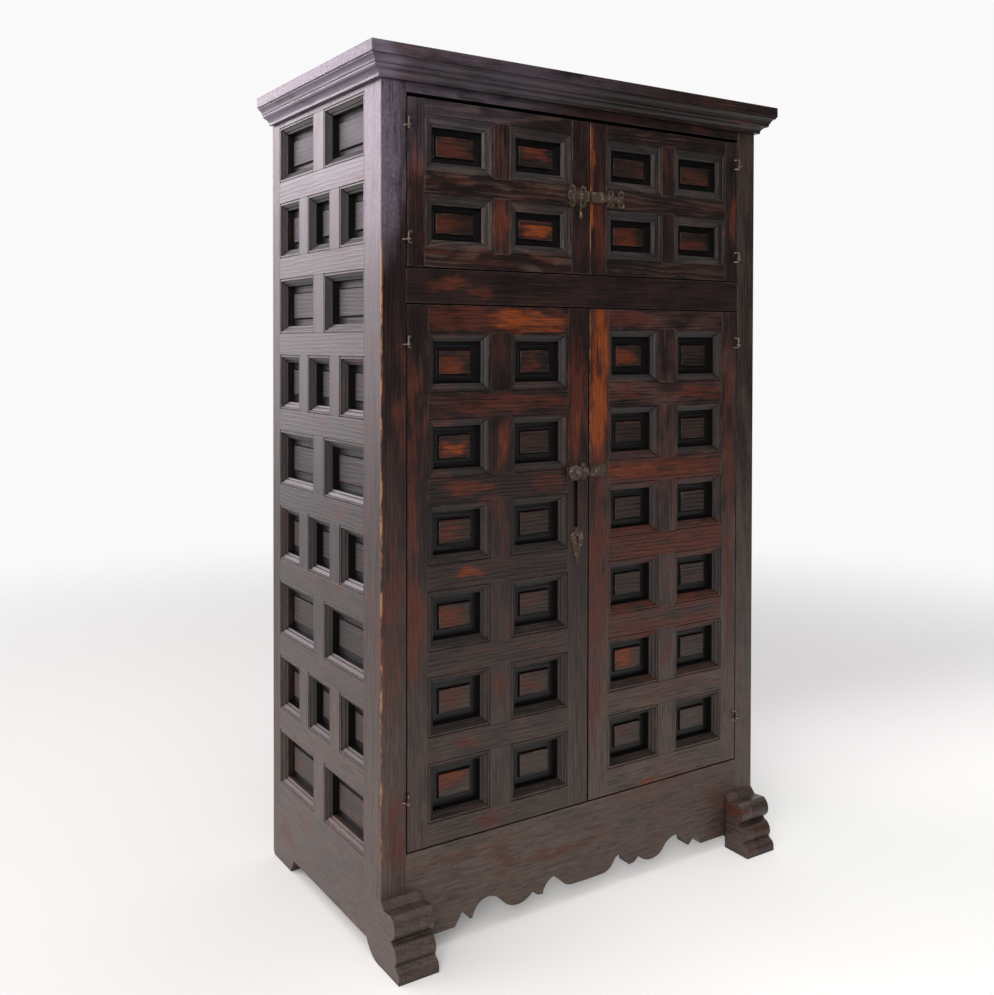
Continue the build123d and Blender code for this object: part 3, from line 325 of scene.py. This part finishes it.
def wood(name, grain, seed, worn=(), sheen_ovals=(), rings=105.0, drift=3.0, figure=0.0, chips=0.35,
         arris=BARE_WOOD, dark=BLACK_STAIN, mid=BROWN_STAIN, floor_light=0.52, rub=0.35, gloss=0.27,
         speckle=0.0, relief=0.7, coffer=None, edge_lines=()):
    """Stained pine with its grain along one axis, worn through on its arrises and at the worn places.

    worn and the argument after it are ovals for zone_mask: the places worn bare, and the places of a
    painted sheen, pale reflections of light on the wax. edge_lines are lines for edge_line. rings is how
    many growth rings cross a metre, drift how far they wander and figure how pale they show. dark and mid
    are the stain's colours; the argument after them pales the stain towards the floor as a painted light
    from the floor, rub wears it in patches, and chips eats the arrises, where the colour arris shows.
    speckle breaks the painted sheen into dots. gloss is the roughness of the smoothest places and relief
    the strength of the bump. coffer gives the face whose recesses are painted black, as shade and dark wax,
    and the depth behind it where they start.
    """
    material, g = new_material(name)
    coords = g.add("TexCoord", {}).outputs
    place = coords["Object"]
    z = g.parts(place)[2]
    along = grain_space(g, place, grain, seed)

    # The grain: growth rings pushed about by a slow noise, broken streaks and fine fibres
    wander = g.noise(along, "wander")
    fibres = g.noise(along, "fibres")
    streaks = g.noise(along, "streaks")
    mottle = g.noise(along, "mottle")
    patches = g.noise(place, "patches")
    mixed = g.total([g.times(mottle, MOTTLE_IN_MIX), g.times(streaks, STREAKS_IN_MIX)])
    across = g.parts(g.scaled(along, (1, rings, rings * RING_SLANT)))
    phase = g.total([across[1], across[2], g.times(wander, drift), g.times(mottle, RING_RAGGEDNESS)])
    wave = g.times(g.math("SINE", g.times(phase, FULL_TURN)), 0.5)
    late_wood = g.math("POWER", g.math("ADD", wave, 0.5), LATE_WOOD_SHARPNESS)

    # Where the stain has worn to red and orange wood: in patches, and in ovals torn out of shape
    jitter_inputs = {"Vector": g.scaled(along, JITTER_SCALE), "Scale": 1.0, "Detail": JITTER_DETAIL}
    jitter = g.add("TexNoise", jitter_inputs).outputs["Color"]
    shove = g.scaled(jitter, (2 * SHOVE, 0, 2 * SHOVE), (-SHOVE, 0, -SHOVE))
    torn = g.add("VectorMath", {0: place, 1: shove}, operation="ADD").outputs[0]
    patchy = g.times(g.band(mixed, "worn_mottle"), g.times(g.band(patches, "worn_patches"), rub))
    bare = g.most([patchy] + [zone_mask(g, torn, oval) for oval in worn])
    bare = g.times(bare, g.band(mixed, "broken"))

    # The stain, paler towards the floor as a painted light from the floor, and a painted shade on the
    # mouldings' sloped faces, paler lower down as a painted reflection of the floor
    stain = g.mix(g.band(mixed, "stain"), dark, mid)
    floor_light_band = g.times(g.band(z, "floor_light_band"), g.times(g.band(mixed, "floor_light_mottle"), floor_light))
    stain = g.mix(floor_light_band, stain, FLOOR_LIGHT_PAINT)
    if coffer or grain == "mitred":
        outward = 0 if coffer and coffer[0] == "side" else 1
        facing = g.math("ABSOLUTE", g.parts(coords["Normal"])[outward])
        floor_sheen = g.times(g.band(z, "floor_sheen_height"), g.band(mottle, "floor_sheen_mottle"))
        moulding = g.mix(floor_sheen, MOULDING_SHADE, MOULDING_FLOOR_SHEEN)
        stain = g.mix(g.times(g.band(facing, "sloping"), COVER["moulding"]), stain, moulding)
    colour = g.mix(g.band(bare, "red"), stain, RED_WOOD)
    colour = g.mix(g.band(bare, "orange"), colour, ORANGE_WOOD)

    # The marks of the grain over both
    lines = g.times(late_wood, g.band(streaks, "ring_streaks"))
    colour = g.mix(g.times(lines, COVER["rings"]), colour, dark)
    colour = g.mix(g.times(g.band(fibres, "dark_fibres"), COVER["fibres"]), colour, dark)
    colour = g.mix(g.times(g.band(streaks, "black_streaks"), COVER["streaks"]), colour, BLACK_WAX_AND_SHADE)
    if figure:
        pale = g.times(g.band(wave, "pale_rings"), g.band(mottle, "pale_mottle"))
        colour = g.mix(g.times(pale, figure), colour, PALE_GRAIN)
    scuffs = g.times(g.band(streaks, "scuff_streaks"), g.band(patches, "scuff_patches"))
    colour = g.mix(g.times(scuffs, COVER["scuffs"]), colour, PALE_GRAIN)

    # Arrises rubbed and chipped; a pale arris colour, as on the upper doors, is also a painted glint
    flat_normal = g.add("NewGeometry", {}).outputs["Normal"]
    eased = g.add("Bevel", {"Radius": ARRIS_EASE}, samples=BEVEL_SAMPLES).outputs[0]
    turn = g.add("VectorMath", {0: flat_normal, 1: eased}, operation="DOT_PRODUCT").outputs["Value"]
    edge = g.band(turn, "turned_edge")
    corner = shade_of(g, CORNER_REACH)
    arrises = g.times(edge, g.band(corner, "open_corner"))
    chipped = g.noise(along, "chipped")
    chip_low, chip_high = (limit - CHIP_REACH * chips for limit in CHIP_BAND)
    rubbed = g.times(arrises, g.step(chipped, chip_low, chip_high))
    rubbed = g.times(rubbed, CHIP_LEAST + CHIP_GAIN * chips)
    for line in edge_lines:
        ragged = g.times(edge_line(g, place, line), g.band(chipped, "ragged_line"))
        rubbed = g.math("MAXIMUM", rubbed, ragged)
    colour = g.mix(rubbed, colour, g.mix(g.band(chipped, "chip_core"), RED_WOOD, arris))

    # A painted sheen: pale reflections of light on the wax, broken into dots where speckle is set
    dots = g.times(g.band(g.noise(place, "dots"), "dots"), speckle) if speckle else None
    for oval in sheen_ovals:
        haze = g.times(zone_mask(g, torn, oval), g.band(mixed, "broken"))
        if speckle:
            haze = g.times(haze, g.math("ADD", dots, 1.0 - speckle))
        colour = g.mix(haze, colour, PAINTED_SHEEN)

    # Painted shade: hollows and creases darkened from the shade of nearby faces, and coffers painted black
    # as shade and dark wax; dry wood on the faces turned into the cabinet
    crease_shade = g.times(edge, g.band(corner, "shut_corner"))
    hollow = g.math("MAXIMUM", g.band(shade_of(g, HOLLOW_REACH), "hollow"), crease_shade)
    if coffer:
        face, start = coffer
        inner = inner_face(g, place, coords["Normal"], face)
        deep = g.step(depth_behind_face(g, place, face), start, start + COFFER_EDGE)
        hollow = g.math("MAXIMUM", hollow, g.times(deep, g.math("SUBTRACT", 1.0, inner)))
        dry = g.mix(g.band(mixed, "dry"), DRY_DARK, DRY_LIGHT)
        dry = g.mix(g.times(lines, COVER["rings"]), dry, BROWN_STAIN)
        colour = g.mix(inner, colour, dry)
    colour = g.mix(hollow, colour, BLACK_WAX_AND_SHADE)

    height = g.total([
        g.times(late_wood, RELIEF["rings"]),
        g.times(streaks, RELIEF["streaks"]),
        g.times(fibres, RELIEF["fibres"]),
    ])
    bump_inputs = {"Strength": relief, "Distance": WOOD_RELIEF_DEPTH, "Height": height, "Normal": eased}
    bump = g.add("Bump", bump_inputs).outputs[0]
    roughness = g.total([gloss, g.times(mottle, MOTTLE_ROUGHNESS), g.times(bare, BARE_ROUGHNESS)])
    finish_material(
        g, Base_Color=colour, Roughness=roughness, Normal=bump, Specular_IOR_Level=WOOD_SPECULAR
    )
    return material


def iron(name, brightness, seed):
    """Forged iron: dark scale with patches of rust, and bright spots of rubbed iron with a painted glint.
    """
    material, g = new_material(name)
    place = g.scaled(g.add("TexCoord", {}).outputs["Object"], (1, 1, 1), (seed, seed, seed))
    scale_marks = g.noise(place, "iron_scale")
    pits = g.noise(place, "iron_pits")
    spots = g.noise(place, "iron_spots")
    base = g.mix(g.band(scale_marks, "rust"), IRON_DARK, IRON_RUST)
    spot_low, spot_high = (limit - reach * brightness for limit, reach in zip(SPOT_BAND, SPOT_REACH))
    bright = g.times(g.step(spots, spot_low, spot_high), COVER["spots"])
    base = g.mix(bright, base, IRON_RUBBED_AND_GLINT)
    height = g.total([g.times(scale_marks, RELIEF["iron_scale"]), g.times(pits, RELIEF["iron_pits"])])
    eased = g.add("Bevel", {"Radius": IRON_EASE}, samples=BEVEL_SAMPLES).outputs[0]
    bump_inputs = {"Strength": IRON_RELIEF, "Distance": IRON_DEPTH, "Height": height, "Normal": eased}
    bump = g.add("Bump", bump_inputs).outputs[0]
    roughness = g.math("ADD", IRON_ROUGHNESS, g.times(scale_marks, SCALE_ROUGHNESS))
    metal = g.math("ADD", IRON_METALLIC, g.times(bright, SPOT_METALLIC))
    finish_material(g, Base_Color=base, Metallic=metal, Roughness=roughness, Normal=bump)
    return material


def dress(node, material):
    """Gives a CAD node its material."""
    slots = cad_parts[node].data.materials
    slots.clear()
    slots.append(material)


# ---------------------------------------------------------------------------------------------------
# Wood
# ---------------------------------------------------------------------------------------------------

# Worn places on the front: centre x and z, half width and half height, strength
WORN = {
    "left_front_post": [(-0.49, 0.68, 0.03, 0.25, 0.30), (-0.48, 0.26, 0.03, 0.10, 0.35)],
    "middle_rail": [(-0.36, 1.354, 0.05, 0.012, 0.40), (-0.28, 1.340, 0.04, 0.012, 0.30)],
    "upper_left_door_stiles": [(-0.444, 1.607, 0.015, 0.05, 0.40), (-0.42, 1.44, 0.015, 0.04, 0.25)],
    "upper_left_door_rails": [(-0.35, 1.562, 0.08, 0.02, 0.20), (-0.13, 1.565, 0.06, 0.02, 0.16),
                              (-0.34, 1.421, 0.10, 0.008, 0.34), (-0.12, 1.421, 0.08, 0.008, 0.28),
                              (-0.26, 1.400, 0.14, 0.01, 0.18)],
    "upper_left_door_muntins": [(-0.235, 1.490, 0.02, 0.055, 0.52)],
    "upper_left_door_panels": [(-0.344, 1.636, 0.045, 0.022, 0.33), (-0.134, 1.645, 0.032, 0.015, 0.55),
                               (-0.344, 1.480, 0.045, 0.022, 0.36), (-0.134, 1.474, 0.042, 0.020, 0.98)],
    "upper_right_door_stiles": [(0.004, 1.535, 0.010, 0.10, 1.0), (0.004, 1.660, 0.007, 0.08, 0.70),
                                (0.018, 1.500, 0.018, 0.08, 0.38), (0.442, 1.543, 0.010, 0.06, 0.45)],
    "upper_right_door_panels": [(0.121, 1.474, 0.045, 0.020, 0.52), (0.320, 1.474, 0.045, 0.020, 0.32),
                                (0.320, 1.636, 0.045, 0.020, 0.22)],
    "lower_left_door_rails": [(-0.16, 1.281, 0.12, 0.026, 0.80), (-0.34, 1.285, 0.10, 0.035, 0.34),
                              (-0.20, 1.110, 0.20, 0.022, 0.32), (-0.31, 0.932, 0.07, 0.018, 0.42),
                              (-0.11, 0.930, 0.05, 0.015, 0.30), (-0.308, 0.764, 0.035, 0.012, 0.62),
                              (-0.315, 0.407, 0.04, 0.014, 0.36), (-0.25, 0.235, 0.05, 0.012, 0.36)],
    "lower_left_door_muntins": [(-0.229, 1.020, 0.018, 0.055, 0.52), (-0.229, 0.510, 0.018, 0.03, 0.38)],
    "lower_left_door_stiles": [(-0.035, 1.100, 0.030, 0.16, 0.36), (-0.035, 1.030, 0.022, 0.06, 0.55),
                               (-0.45, 0.90, 0.02, 0.35, 0.32), (-0.44, 0.66, 0.025, 0.12, 0.40)],
    "lower_left_door_panels": [(-0.344, 1.190, 0.036, 0.022, 0.58), (-0.140, 1.188, 0.030, 0.018, 0.36),
                               (-0.340, 1.018, 0.038, 0.022, 0.85), (-0.344, 0.850, 0.036, 0.022, 0.36),
                               (-0.344, 0.676, 0.040, 0.025, 0.60), (-0.140, 0.676, 0.036, 0.022, 0.24),
                               (-0.344, 0.502, 0.040, 0.022, 0.30), (-0.140, 0.502, 0.040, 0.022, 0.32),
                               (-0.344, 0.327, 0.040, 0.025, 0.60)],
    "lower_right_door_stiles": [(0.028, 1.155, 0.034, 0.20, 0.92), (0.020, 0.76, 0.030, 0.25, 0.42),
                                (0.015, 0.48, 0.020, 0.18, 0.32), (0.435, 1.00, 0.020, 0.25, 0.30),
                                (0.435, 0.62, 0.020, 0.18, 0.38), (0.02, 0.70, 0.05, 0.25, 0.34)],
    "lower_right_door_rails": [(0.10, 1.290, 0.10, 0.02, 0.32), (0.10, 1.120, 0.06, 0.02, 0.32),
                               (0.33, 1.120, 0.07, 0.02, 0.44), (0.20, 0.945, 0.22, 0.024, 0.58),
                               (0.26, 0.770, 0.17, 0.020, 0.46), (0.26, 0.420, 0.15, 0.020, 0.22),
                               (0.23, 0.720, 0.30, 0.30, 0.38), (0.18, 0.217, 0.04, 0.006, 0.70)],
    "lower_right_door_muntins": [(0.231, 0.530, 0.018, 0.06, 0.32)],
    "lower_right_door_panels": [(0.116, 1.205, 0.036, 0.022, 0.58), (0.116, 0.514, 0.036, 0.022, 0.66),
                                (0.318, 0.514, 0.036, 0.022, 0.24), (0.318, 0.686, 0.036, 0.022, 0.24),
                                (0.116, 0.340, 0.036, 0.022, 0.26)],
    "apron_board": [(-0.34, 0.175, 0.12, 0.010, 0.30), (-0.08, 0.120, 0.14, 0.012, 0.30),
                    (0.014, 0.153, 0.04, 0.010, 0.32), (-0.213, 0.135, 0.03, 0.010, 0.35),
                    (0.300, 0.170, 0.30, 0.060, 0.16)],
    "right_foot_block": [(0.430, 0.103, 0.012, 0.009, 1.0)],
}

# Places with a painted sheen, pale reflections of light on the wax, given in the same way
PAINTED_SHEENS = {
    "left_front_post": [(-0.52, 1.66, 0.06, 0.26, 1.0)],
    "cornice_mouldings": [(-0.42, 1.79, 0.40, 0.10, 0.30), (-0.56, 1.785, 0.08, 0.08, 1.0)],
    "top_board": [(-0.40, 1.80, 0.50, 0.10, 0.30), (-0.57, 1.80, 0.07, 0.10, 1.0)],
    "frieze_rail": [(-0.40, 1.76, 0.30, 0.06, 0.45)],
    "upper_left_door_rails": [(-0.36, 1.71, 0.20, 0.05, 0.18)],
    "upper_left_door_stiles": [(-0.45, 1.68, 0.05, 0.10, 0.22)],
}

# The wood outside, by the direction of its grain
GRAINS = {
    "x": ["frieze_rail", "middle_rail", "apron_board"],
    "x flat": ["top_board"],
    "y": [],
    "z": [],
    "mitred": ["cornice_mouldings"],
}
for side in ("left", "right"):
    GRAINS["y"] += [f"{side}_sled_board", f"{side}_foot_block", f"{side}_side_rails", f"{side}_side_panels"]
    GRAINS["z"] += [f"{side}_front_post", f"{side}_rear_post", f"{side}_side_muntins"]
    for level in ("upper", "lower"):
        door = f"{level}_{side}_door"
        GRAINS["x"] += [f"{door}_rails", f"{door}_panels"]
        GRAINS["z"] += [f"{door}_stiles", f"{door}_muntins"]

# What sets some pieces apart. An edge line is x, half width, lowest and highest z, and strength.
FIELD_STAIN = {"dark": (0.0125, 0.0078, 0.0066, 1), "mid": (0.0350, 0.0185, 0.0140, 1), "chips": 0.6}
# The side's stain is paler, greyer and more mauve than the front's: the stain with a painted sheen over it
SIDE_STAIN_AND_SHEEN = {"dark": (0.0130, 0.0098, 0.0112, 1), "mid": (0.0290, 0.0215, 0.0235, 1), "chips": 0.15,
              "floor_light": 0.9, "relief": 0.45}
SIDE_FIELDS = {"dark": (0.0085, 0.0064, 0.0070, 1), "mid": (0.0185, 0.0135, 0.0145, 1), "chips": 0.25,
               "floor_light": 0.5, "gloss": 0.42}
RUDDY = {"mid": (0.0950, 0.0420, 0.0340, 1), "floor_light": 0.9}
SPECIAL = {
    "left_front_post": {"edge_lines": [(-HALF_WIDTH, 0.0042, 0.20, 1.62, 0.95)], "speckle": 0.45,
                        "floor_light": 0.8},
    "upper_left_door_rails": {"drift": 9.0, "figure": 0.5, "rings": 60.0, "rub": 0.2, "arris": ARRIS_WEAR_AND_GLINT},
    "upper_left_door_muntins": {"drift": 6.0, "figure": 0.3, "arris": ARRIS_WEAR_AND_GLINT, "chips": 0.9},
    "upper_left_door_stiles": {"arris": ARRIS_WEAR_AND_GLINT, "chips": 0.9},
    "upper_right_door_rails": {"drift": 9.0, "figure": 0.35, "rings": 60.0, "rub": 0.2,
                               "arris": ARRIS_WEAR_AND_GLINT},
    "upper_right_door_muntins": {"arris": ARRIS_WEAR_AND_GLINT, "chips": 0.8},
    "upper_right_door_stiles": {"edge_lines": [(0.002, 0.0030, 1.39, 1.73, 0.9)], "chips": 0.5},
    "lower_right_door_stiles": {"edge_lines": [(0.002, 0.0030, 0.98, 1.31, 0.7)], "chips": 0.4, **RUDDY},
    "lower_right_door_rails": RUDDY,
    "lower_right_door_muntins": RUDDY,
    "apron_board": {"drift": 8.0, "rings": 80.0, "figure": 0.28, "floor_light": 1.0, "dark": APRON_BLACK},
    "left_foot_block": {"chips": 0.5, "floor_light": 1.0, "mid": FOOT_BROWN_AND_LIGHT},
    "right_foot_block": {"chips": 0.5, "floor_light": 1.0, "dark": FOOT_BLACK, "mid": FOOT_BROWN_AND_LIGHT},
    "right_front_post": {"chips": 0.5, "floor_light": 1.0, "dark": POST_BLACK, "mid": FOOT_BROWN_AND_LIGHT},
    "left_sled_board": {**SIDE_STAIN_AND_SHEEN, "chips": 0.4, "floor_light": 0.8},
    "middle_rail": {"rub": 0.2},
}
INSIDE_LOOK = {"chips": 0.1, "dark": INNER_DARK, "mid": INNER_LIGHT, "floor_light": 0.0, "rub": 0.0, "gloss": 0.58}


def plain_look(node):
    """What sets a piece apart that SPECIAL doesn't name."""
    if node.endswith("_side_panels"):
        return SIDE_FIELDS
    return SIDE_STAIN_AND_SHEEN if "_side_" in node else {}


seed = 1
for grain, nodes in GRAINS.items():
    for node in nodes:
        look = dict(SPECIAL.get(node, plain_look(node)))
        face = "front" if "_door_" in node else "side"
        if node.endswith("_panels"):
            look = {**FIELD_STAIN, **look, "coffer": (face, FIELD_DEPTH)}
        elif node.endswith(("_rails", "_stiles", "_muntins")):
            look["coffer"] = (face, MOULD_DEPTH)
        dress(node, wood(f"wood_{node}", grain, seed, WORN.get(node, ()), PAINTED_SHEENS.get(node, ()), **look))
        seed += 1

# The dry wood inside and at the back, by the direction of its grain
INSIDE = {
    "x flat": ["upper_deck", "middle_shelf", "lower_shelf", "floor_board"],
    "x": ["back_rails", "door_stops"],
    "y": ["shelf_cleats"],
    "z": ["back_boards"],
}
for grain, nodes in INSIDE.items():
    for node in nodes:
        dress(node, wood(f"wood_{node}", grain, seed, **INSIDE_LOOK))
        seed += 1

# ---------------------------------------------------------------------------------------------------
# Iron
# ---------------------------------------------------------------------------------------------------

hinge_iron = iron("iron_hinges", brightness=0.75, seed=3)
bolt_iron = iron("iron_bolts", brightness=0.30, seed=5)
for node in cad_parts:
    if node.endswith("hinge_eyes"):
        dress(node, hinge_iron)
for node in ("upper_bolt_plate", "upper_keeper", "lower_bolt_plate", "lower_keeper", "keyhole_plate",
             "lock_case", "lock_bolt", "upper_bolt", "upper_bolt_pull", "lower_bolt"):
    dress(node, bolt_iron)

# ---------------------------------------------------------------------------------------------------
# Room, light and camera
# ---------------------------------------------------------------------------------------------------

# Levels of the world's light on the cabinet and of the background behind it
WORLD_LEVEL = 0.55
BACKDROP_LEVEL = 0.95

# The floor: it lies a little under the feet, is lifted towards white in the bands before the doors, and
# melts into the background in the band of distances FLOOR_END; lengths in metres
FLOOR_COLOUR = (0.88, 0.876, 0.868, 1)
FLOOR_Z = -0.0005
FLOOR_SPAN = 60
FLOOR_LIFT = 0.36
LIFTED_X = (-0.9, 0.2)
LIFTED_Y = (0.6, -0.4)
FLOOR_END = (1.6, 4.5)

# A dark card beyond the camera's right, so that the wax on the doors mirrors no white there
CARD_PLACE = (2.6, -4.0, 2.2)
CARD_SIZE = (6.5, 4.4)
CARD_FACING = (-0.545, 0.839, 0)
CARD_COLOUR = (0.02, 0.02, 0.02, 1)
CARD_ROUGHNESS = 0.9

# Lamps: place, what it points at, width and height, watts, colour, and spread in degrees. The two sheens
# shine in the wax of the left side and of the cornice's left end, and keep off the floor in view.
LAMPS = {
    "window": ((-3.4, -3.8, 2.6), (0, 0, 0.9), (2.6, 2.2), 130, (1.0, 0.98, 0.95), 180.0),
    "wall": ((-3.4, 2.7, 2.9), (-0.5, 0.3, 1.0), (4.6, 3.6), 40, (1.0, 0.90, 0.94), 100.0),
    "side_sheen": ((-2.6, 4.6, 1.9), (-0.5, 0.2, 1.45), (3.4, 3.0), 5.5, (1.0, 0.84, 0.92), 46.0),
    "top_sheen": ((-3.4, 6.1, 3.4), (-0.55, 0.0, 1.75), (3.0, 1.6), 3.4, (1.0, 0.87, 0.98), 34.0),
    "ceiling": ((-0.8, -0.6, 4.2), (0, 0, 0), (4.0, 4.0), 42, (1, 1, 1), 180.0),
}

# The camera that was fitted to the photograph: lens and picture centre in pixels, place in metres and
# angles in degrees
FOCAL_PX = 1074.86
CENTRE_U = 496.755
CENTRE_V = 360.67
WIDTH_PX = 994
HEIGHT_PX = 995
SENSOR_MM = 36.0
CAMERA_PLACE = (-1.474, -2.137, 1.232)
YAW, PITCH, ROLL = (math.radians(angle) for angle in (33.05, -0.856, -0.104))


def stage_plane(name, centre, size, facing):
    """A flat rectangle that faces a direction and isn't part of the cabinet."""
    mesh = bpy.data.meshes.new(name)
    half_x, half_y = size[0] / 2, size[1] / 2
    corners = [(-half_x, -half_y, 0), (half_x, -half_y, 0), (half_x, half_y, 0), (-half_x, half_y, 0)]
    mesh.from_pydata(corners, [], [(0, 1, 2, 3)])
    thing = bpy.data.objects.new(name, mesh)
    thing.location = centre
    thing.rotation_euler = Vector(facing).to_track_quat("Z", "Y").to_euler()
    bpy.context.scene.collection.objects.link(thing)
    return thing


def backdrop_rays(graph):
    """1 for a ray that shows the background: seen straight, mirrored or through something."""
    rays = graph.add("LightPath", {}).outputs
    return graph.most([rays["Is Camera Ray"], rays["Is Glossy Ray"], rays["Is Transmission Ray"]])


def area_light(name, location, target, size, watts, colour, spread):
    """A rectangular lamp that points at a target and isn't seen itself."""
    light = bpy.data.lights.new(name, "AREA")
    light.shape = "RECTANGLE"
    light.size, light.size_y = size
    light.energy = watts
    light.color = colour
    light.spread = math.radians(spread)
    thing = bpy.data.objects.new(name, light)
    thing.location = location
    thing.rotation_euler = (Vector(target) - Vector(location)).to_track_quat("-Z", "Y").to_euler()
    thing.visible_camera = False
    bpy.context.scene.collection.objects.link(thing)


floor = stage_plane("floor", (0, 0, FLOOR_Z), (FLOOR_SPAN, FLOOR_SPAN), (0, 0, 1))
floor_material, g = new_material("pale_floor")
floor_place = g.add("NewGeometry", {}).outputs["Position"]
floor_x, floor_y, _ = g.parts(floor_place)
before_doors = g.times(g.step(floor_x, *LIFTED_X), g.step(floor_y, *LIFTED_Y))
lift = g.times(backdrop_rays(g), g.times(before_doors, FLOOR_LIFT))
matt = g.add("BsdfDiffuse", {"Color": FLOOR_COLOUR}).outputs[0]
glow = g.add("Emission", {"Color": FLOOR_COLOUR, "Strength": lift}).outputs[0]
lit = g.add("AddShader", {0: matt, 1: glow}).outputs[0]
away = g.add("VectorMath", {0: floor_place}, operation="LENGTH").outputs["Value"]
clear = g.add("BsdfTransparent", {}).outputs[0]
surface = g.add("MixShader", {0: g.step(away, *FLOOR_END), 1: lit, 2: clear}).outputs[0]
g.tree.links.new(surface, g.tree.nodes.new("ShaderNodeOutputMaterial").inputs[0])
floor.data.materials.append(floor_material)

card = stage_plane("dark_card", CARD_PLACE, CARD_SIZE, CARD_FACING)
card.visible_camera = False
card_material, g = new_material("dark_card")
finish_material(g, Base_Color=CARD_COLOUR, Roughness=CARD_ROUGHNESS)
card.data.materials.append(card_material)

world = bpy.data.worlds.new("room")
bpy.context.scene.world = world
world.use_nodes = True
world.node_tree.nodes.clear()
g = Graph(world.node_tree)
strength = g.math("ADD", WORLD_LEVEL, g.times(backdrop_rays(g), BACKDROP_LEVEL - WORLD_LEVEL))
room_light = g.add("Background", {"Color": (1, 1, 1, 1), "Strength": strength}).outputs[0]
g.tree.links.new(room_light, g.tree.nodes.new("ShaderNodeOutputWorld").inputs[0])

for lamp, settings in LAMPS.items():
    area_light(lamp, *settings)

camera_data = bpy.data.cameras.new("camera")
camera_data.sensor_fit = "VERTICAL"
camera_data.sensor_height = SENSOR_MM
camera_data.lens = FOCAL_PX / HEIGHT_PX * SENSOR_MM
camera_data.shift_x = (WIDTH_PX / 2 - CENTRE_U) / HEIGHT_PX
camera_data.shift_y = (CENTRE_V - HEIGHT_PX / 2) / HEIGHT_PX
camera = bpy.data.objects.new("camera", camera_data)
bpy.context.scene.collection.objects.link(camera)
camera.location = CAMERA_PLACE
looking = Euler((math.pi / 2 + PITCH, 0, -YAW)).to_quaternion()
camera.rotation_euler = (looking @ Euler((0, 0, -ROLL)).to_quaternion()).to_euler()
bpy.context.scene.camera = camera
bpy.context.scene.view_settings.view_transform = "Standard"
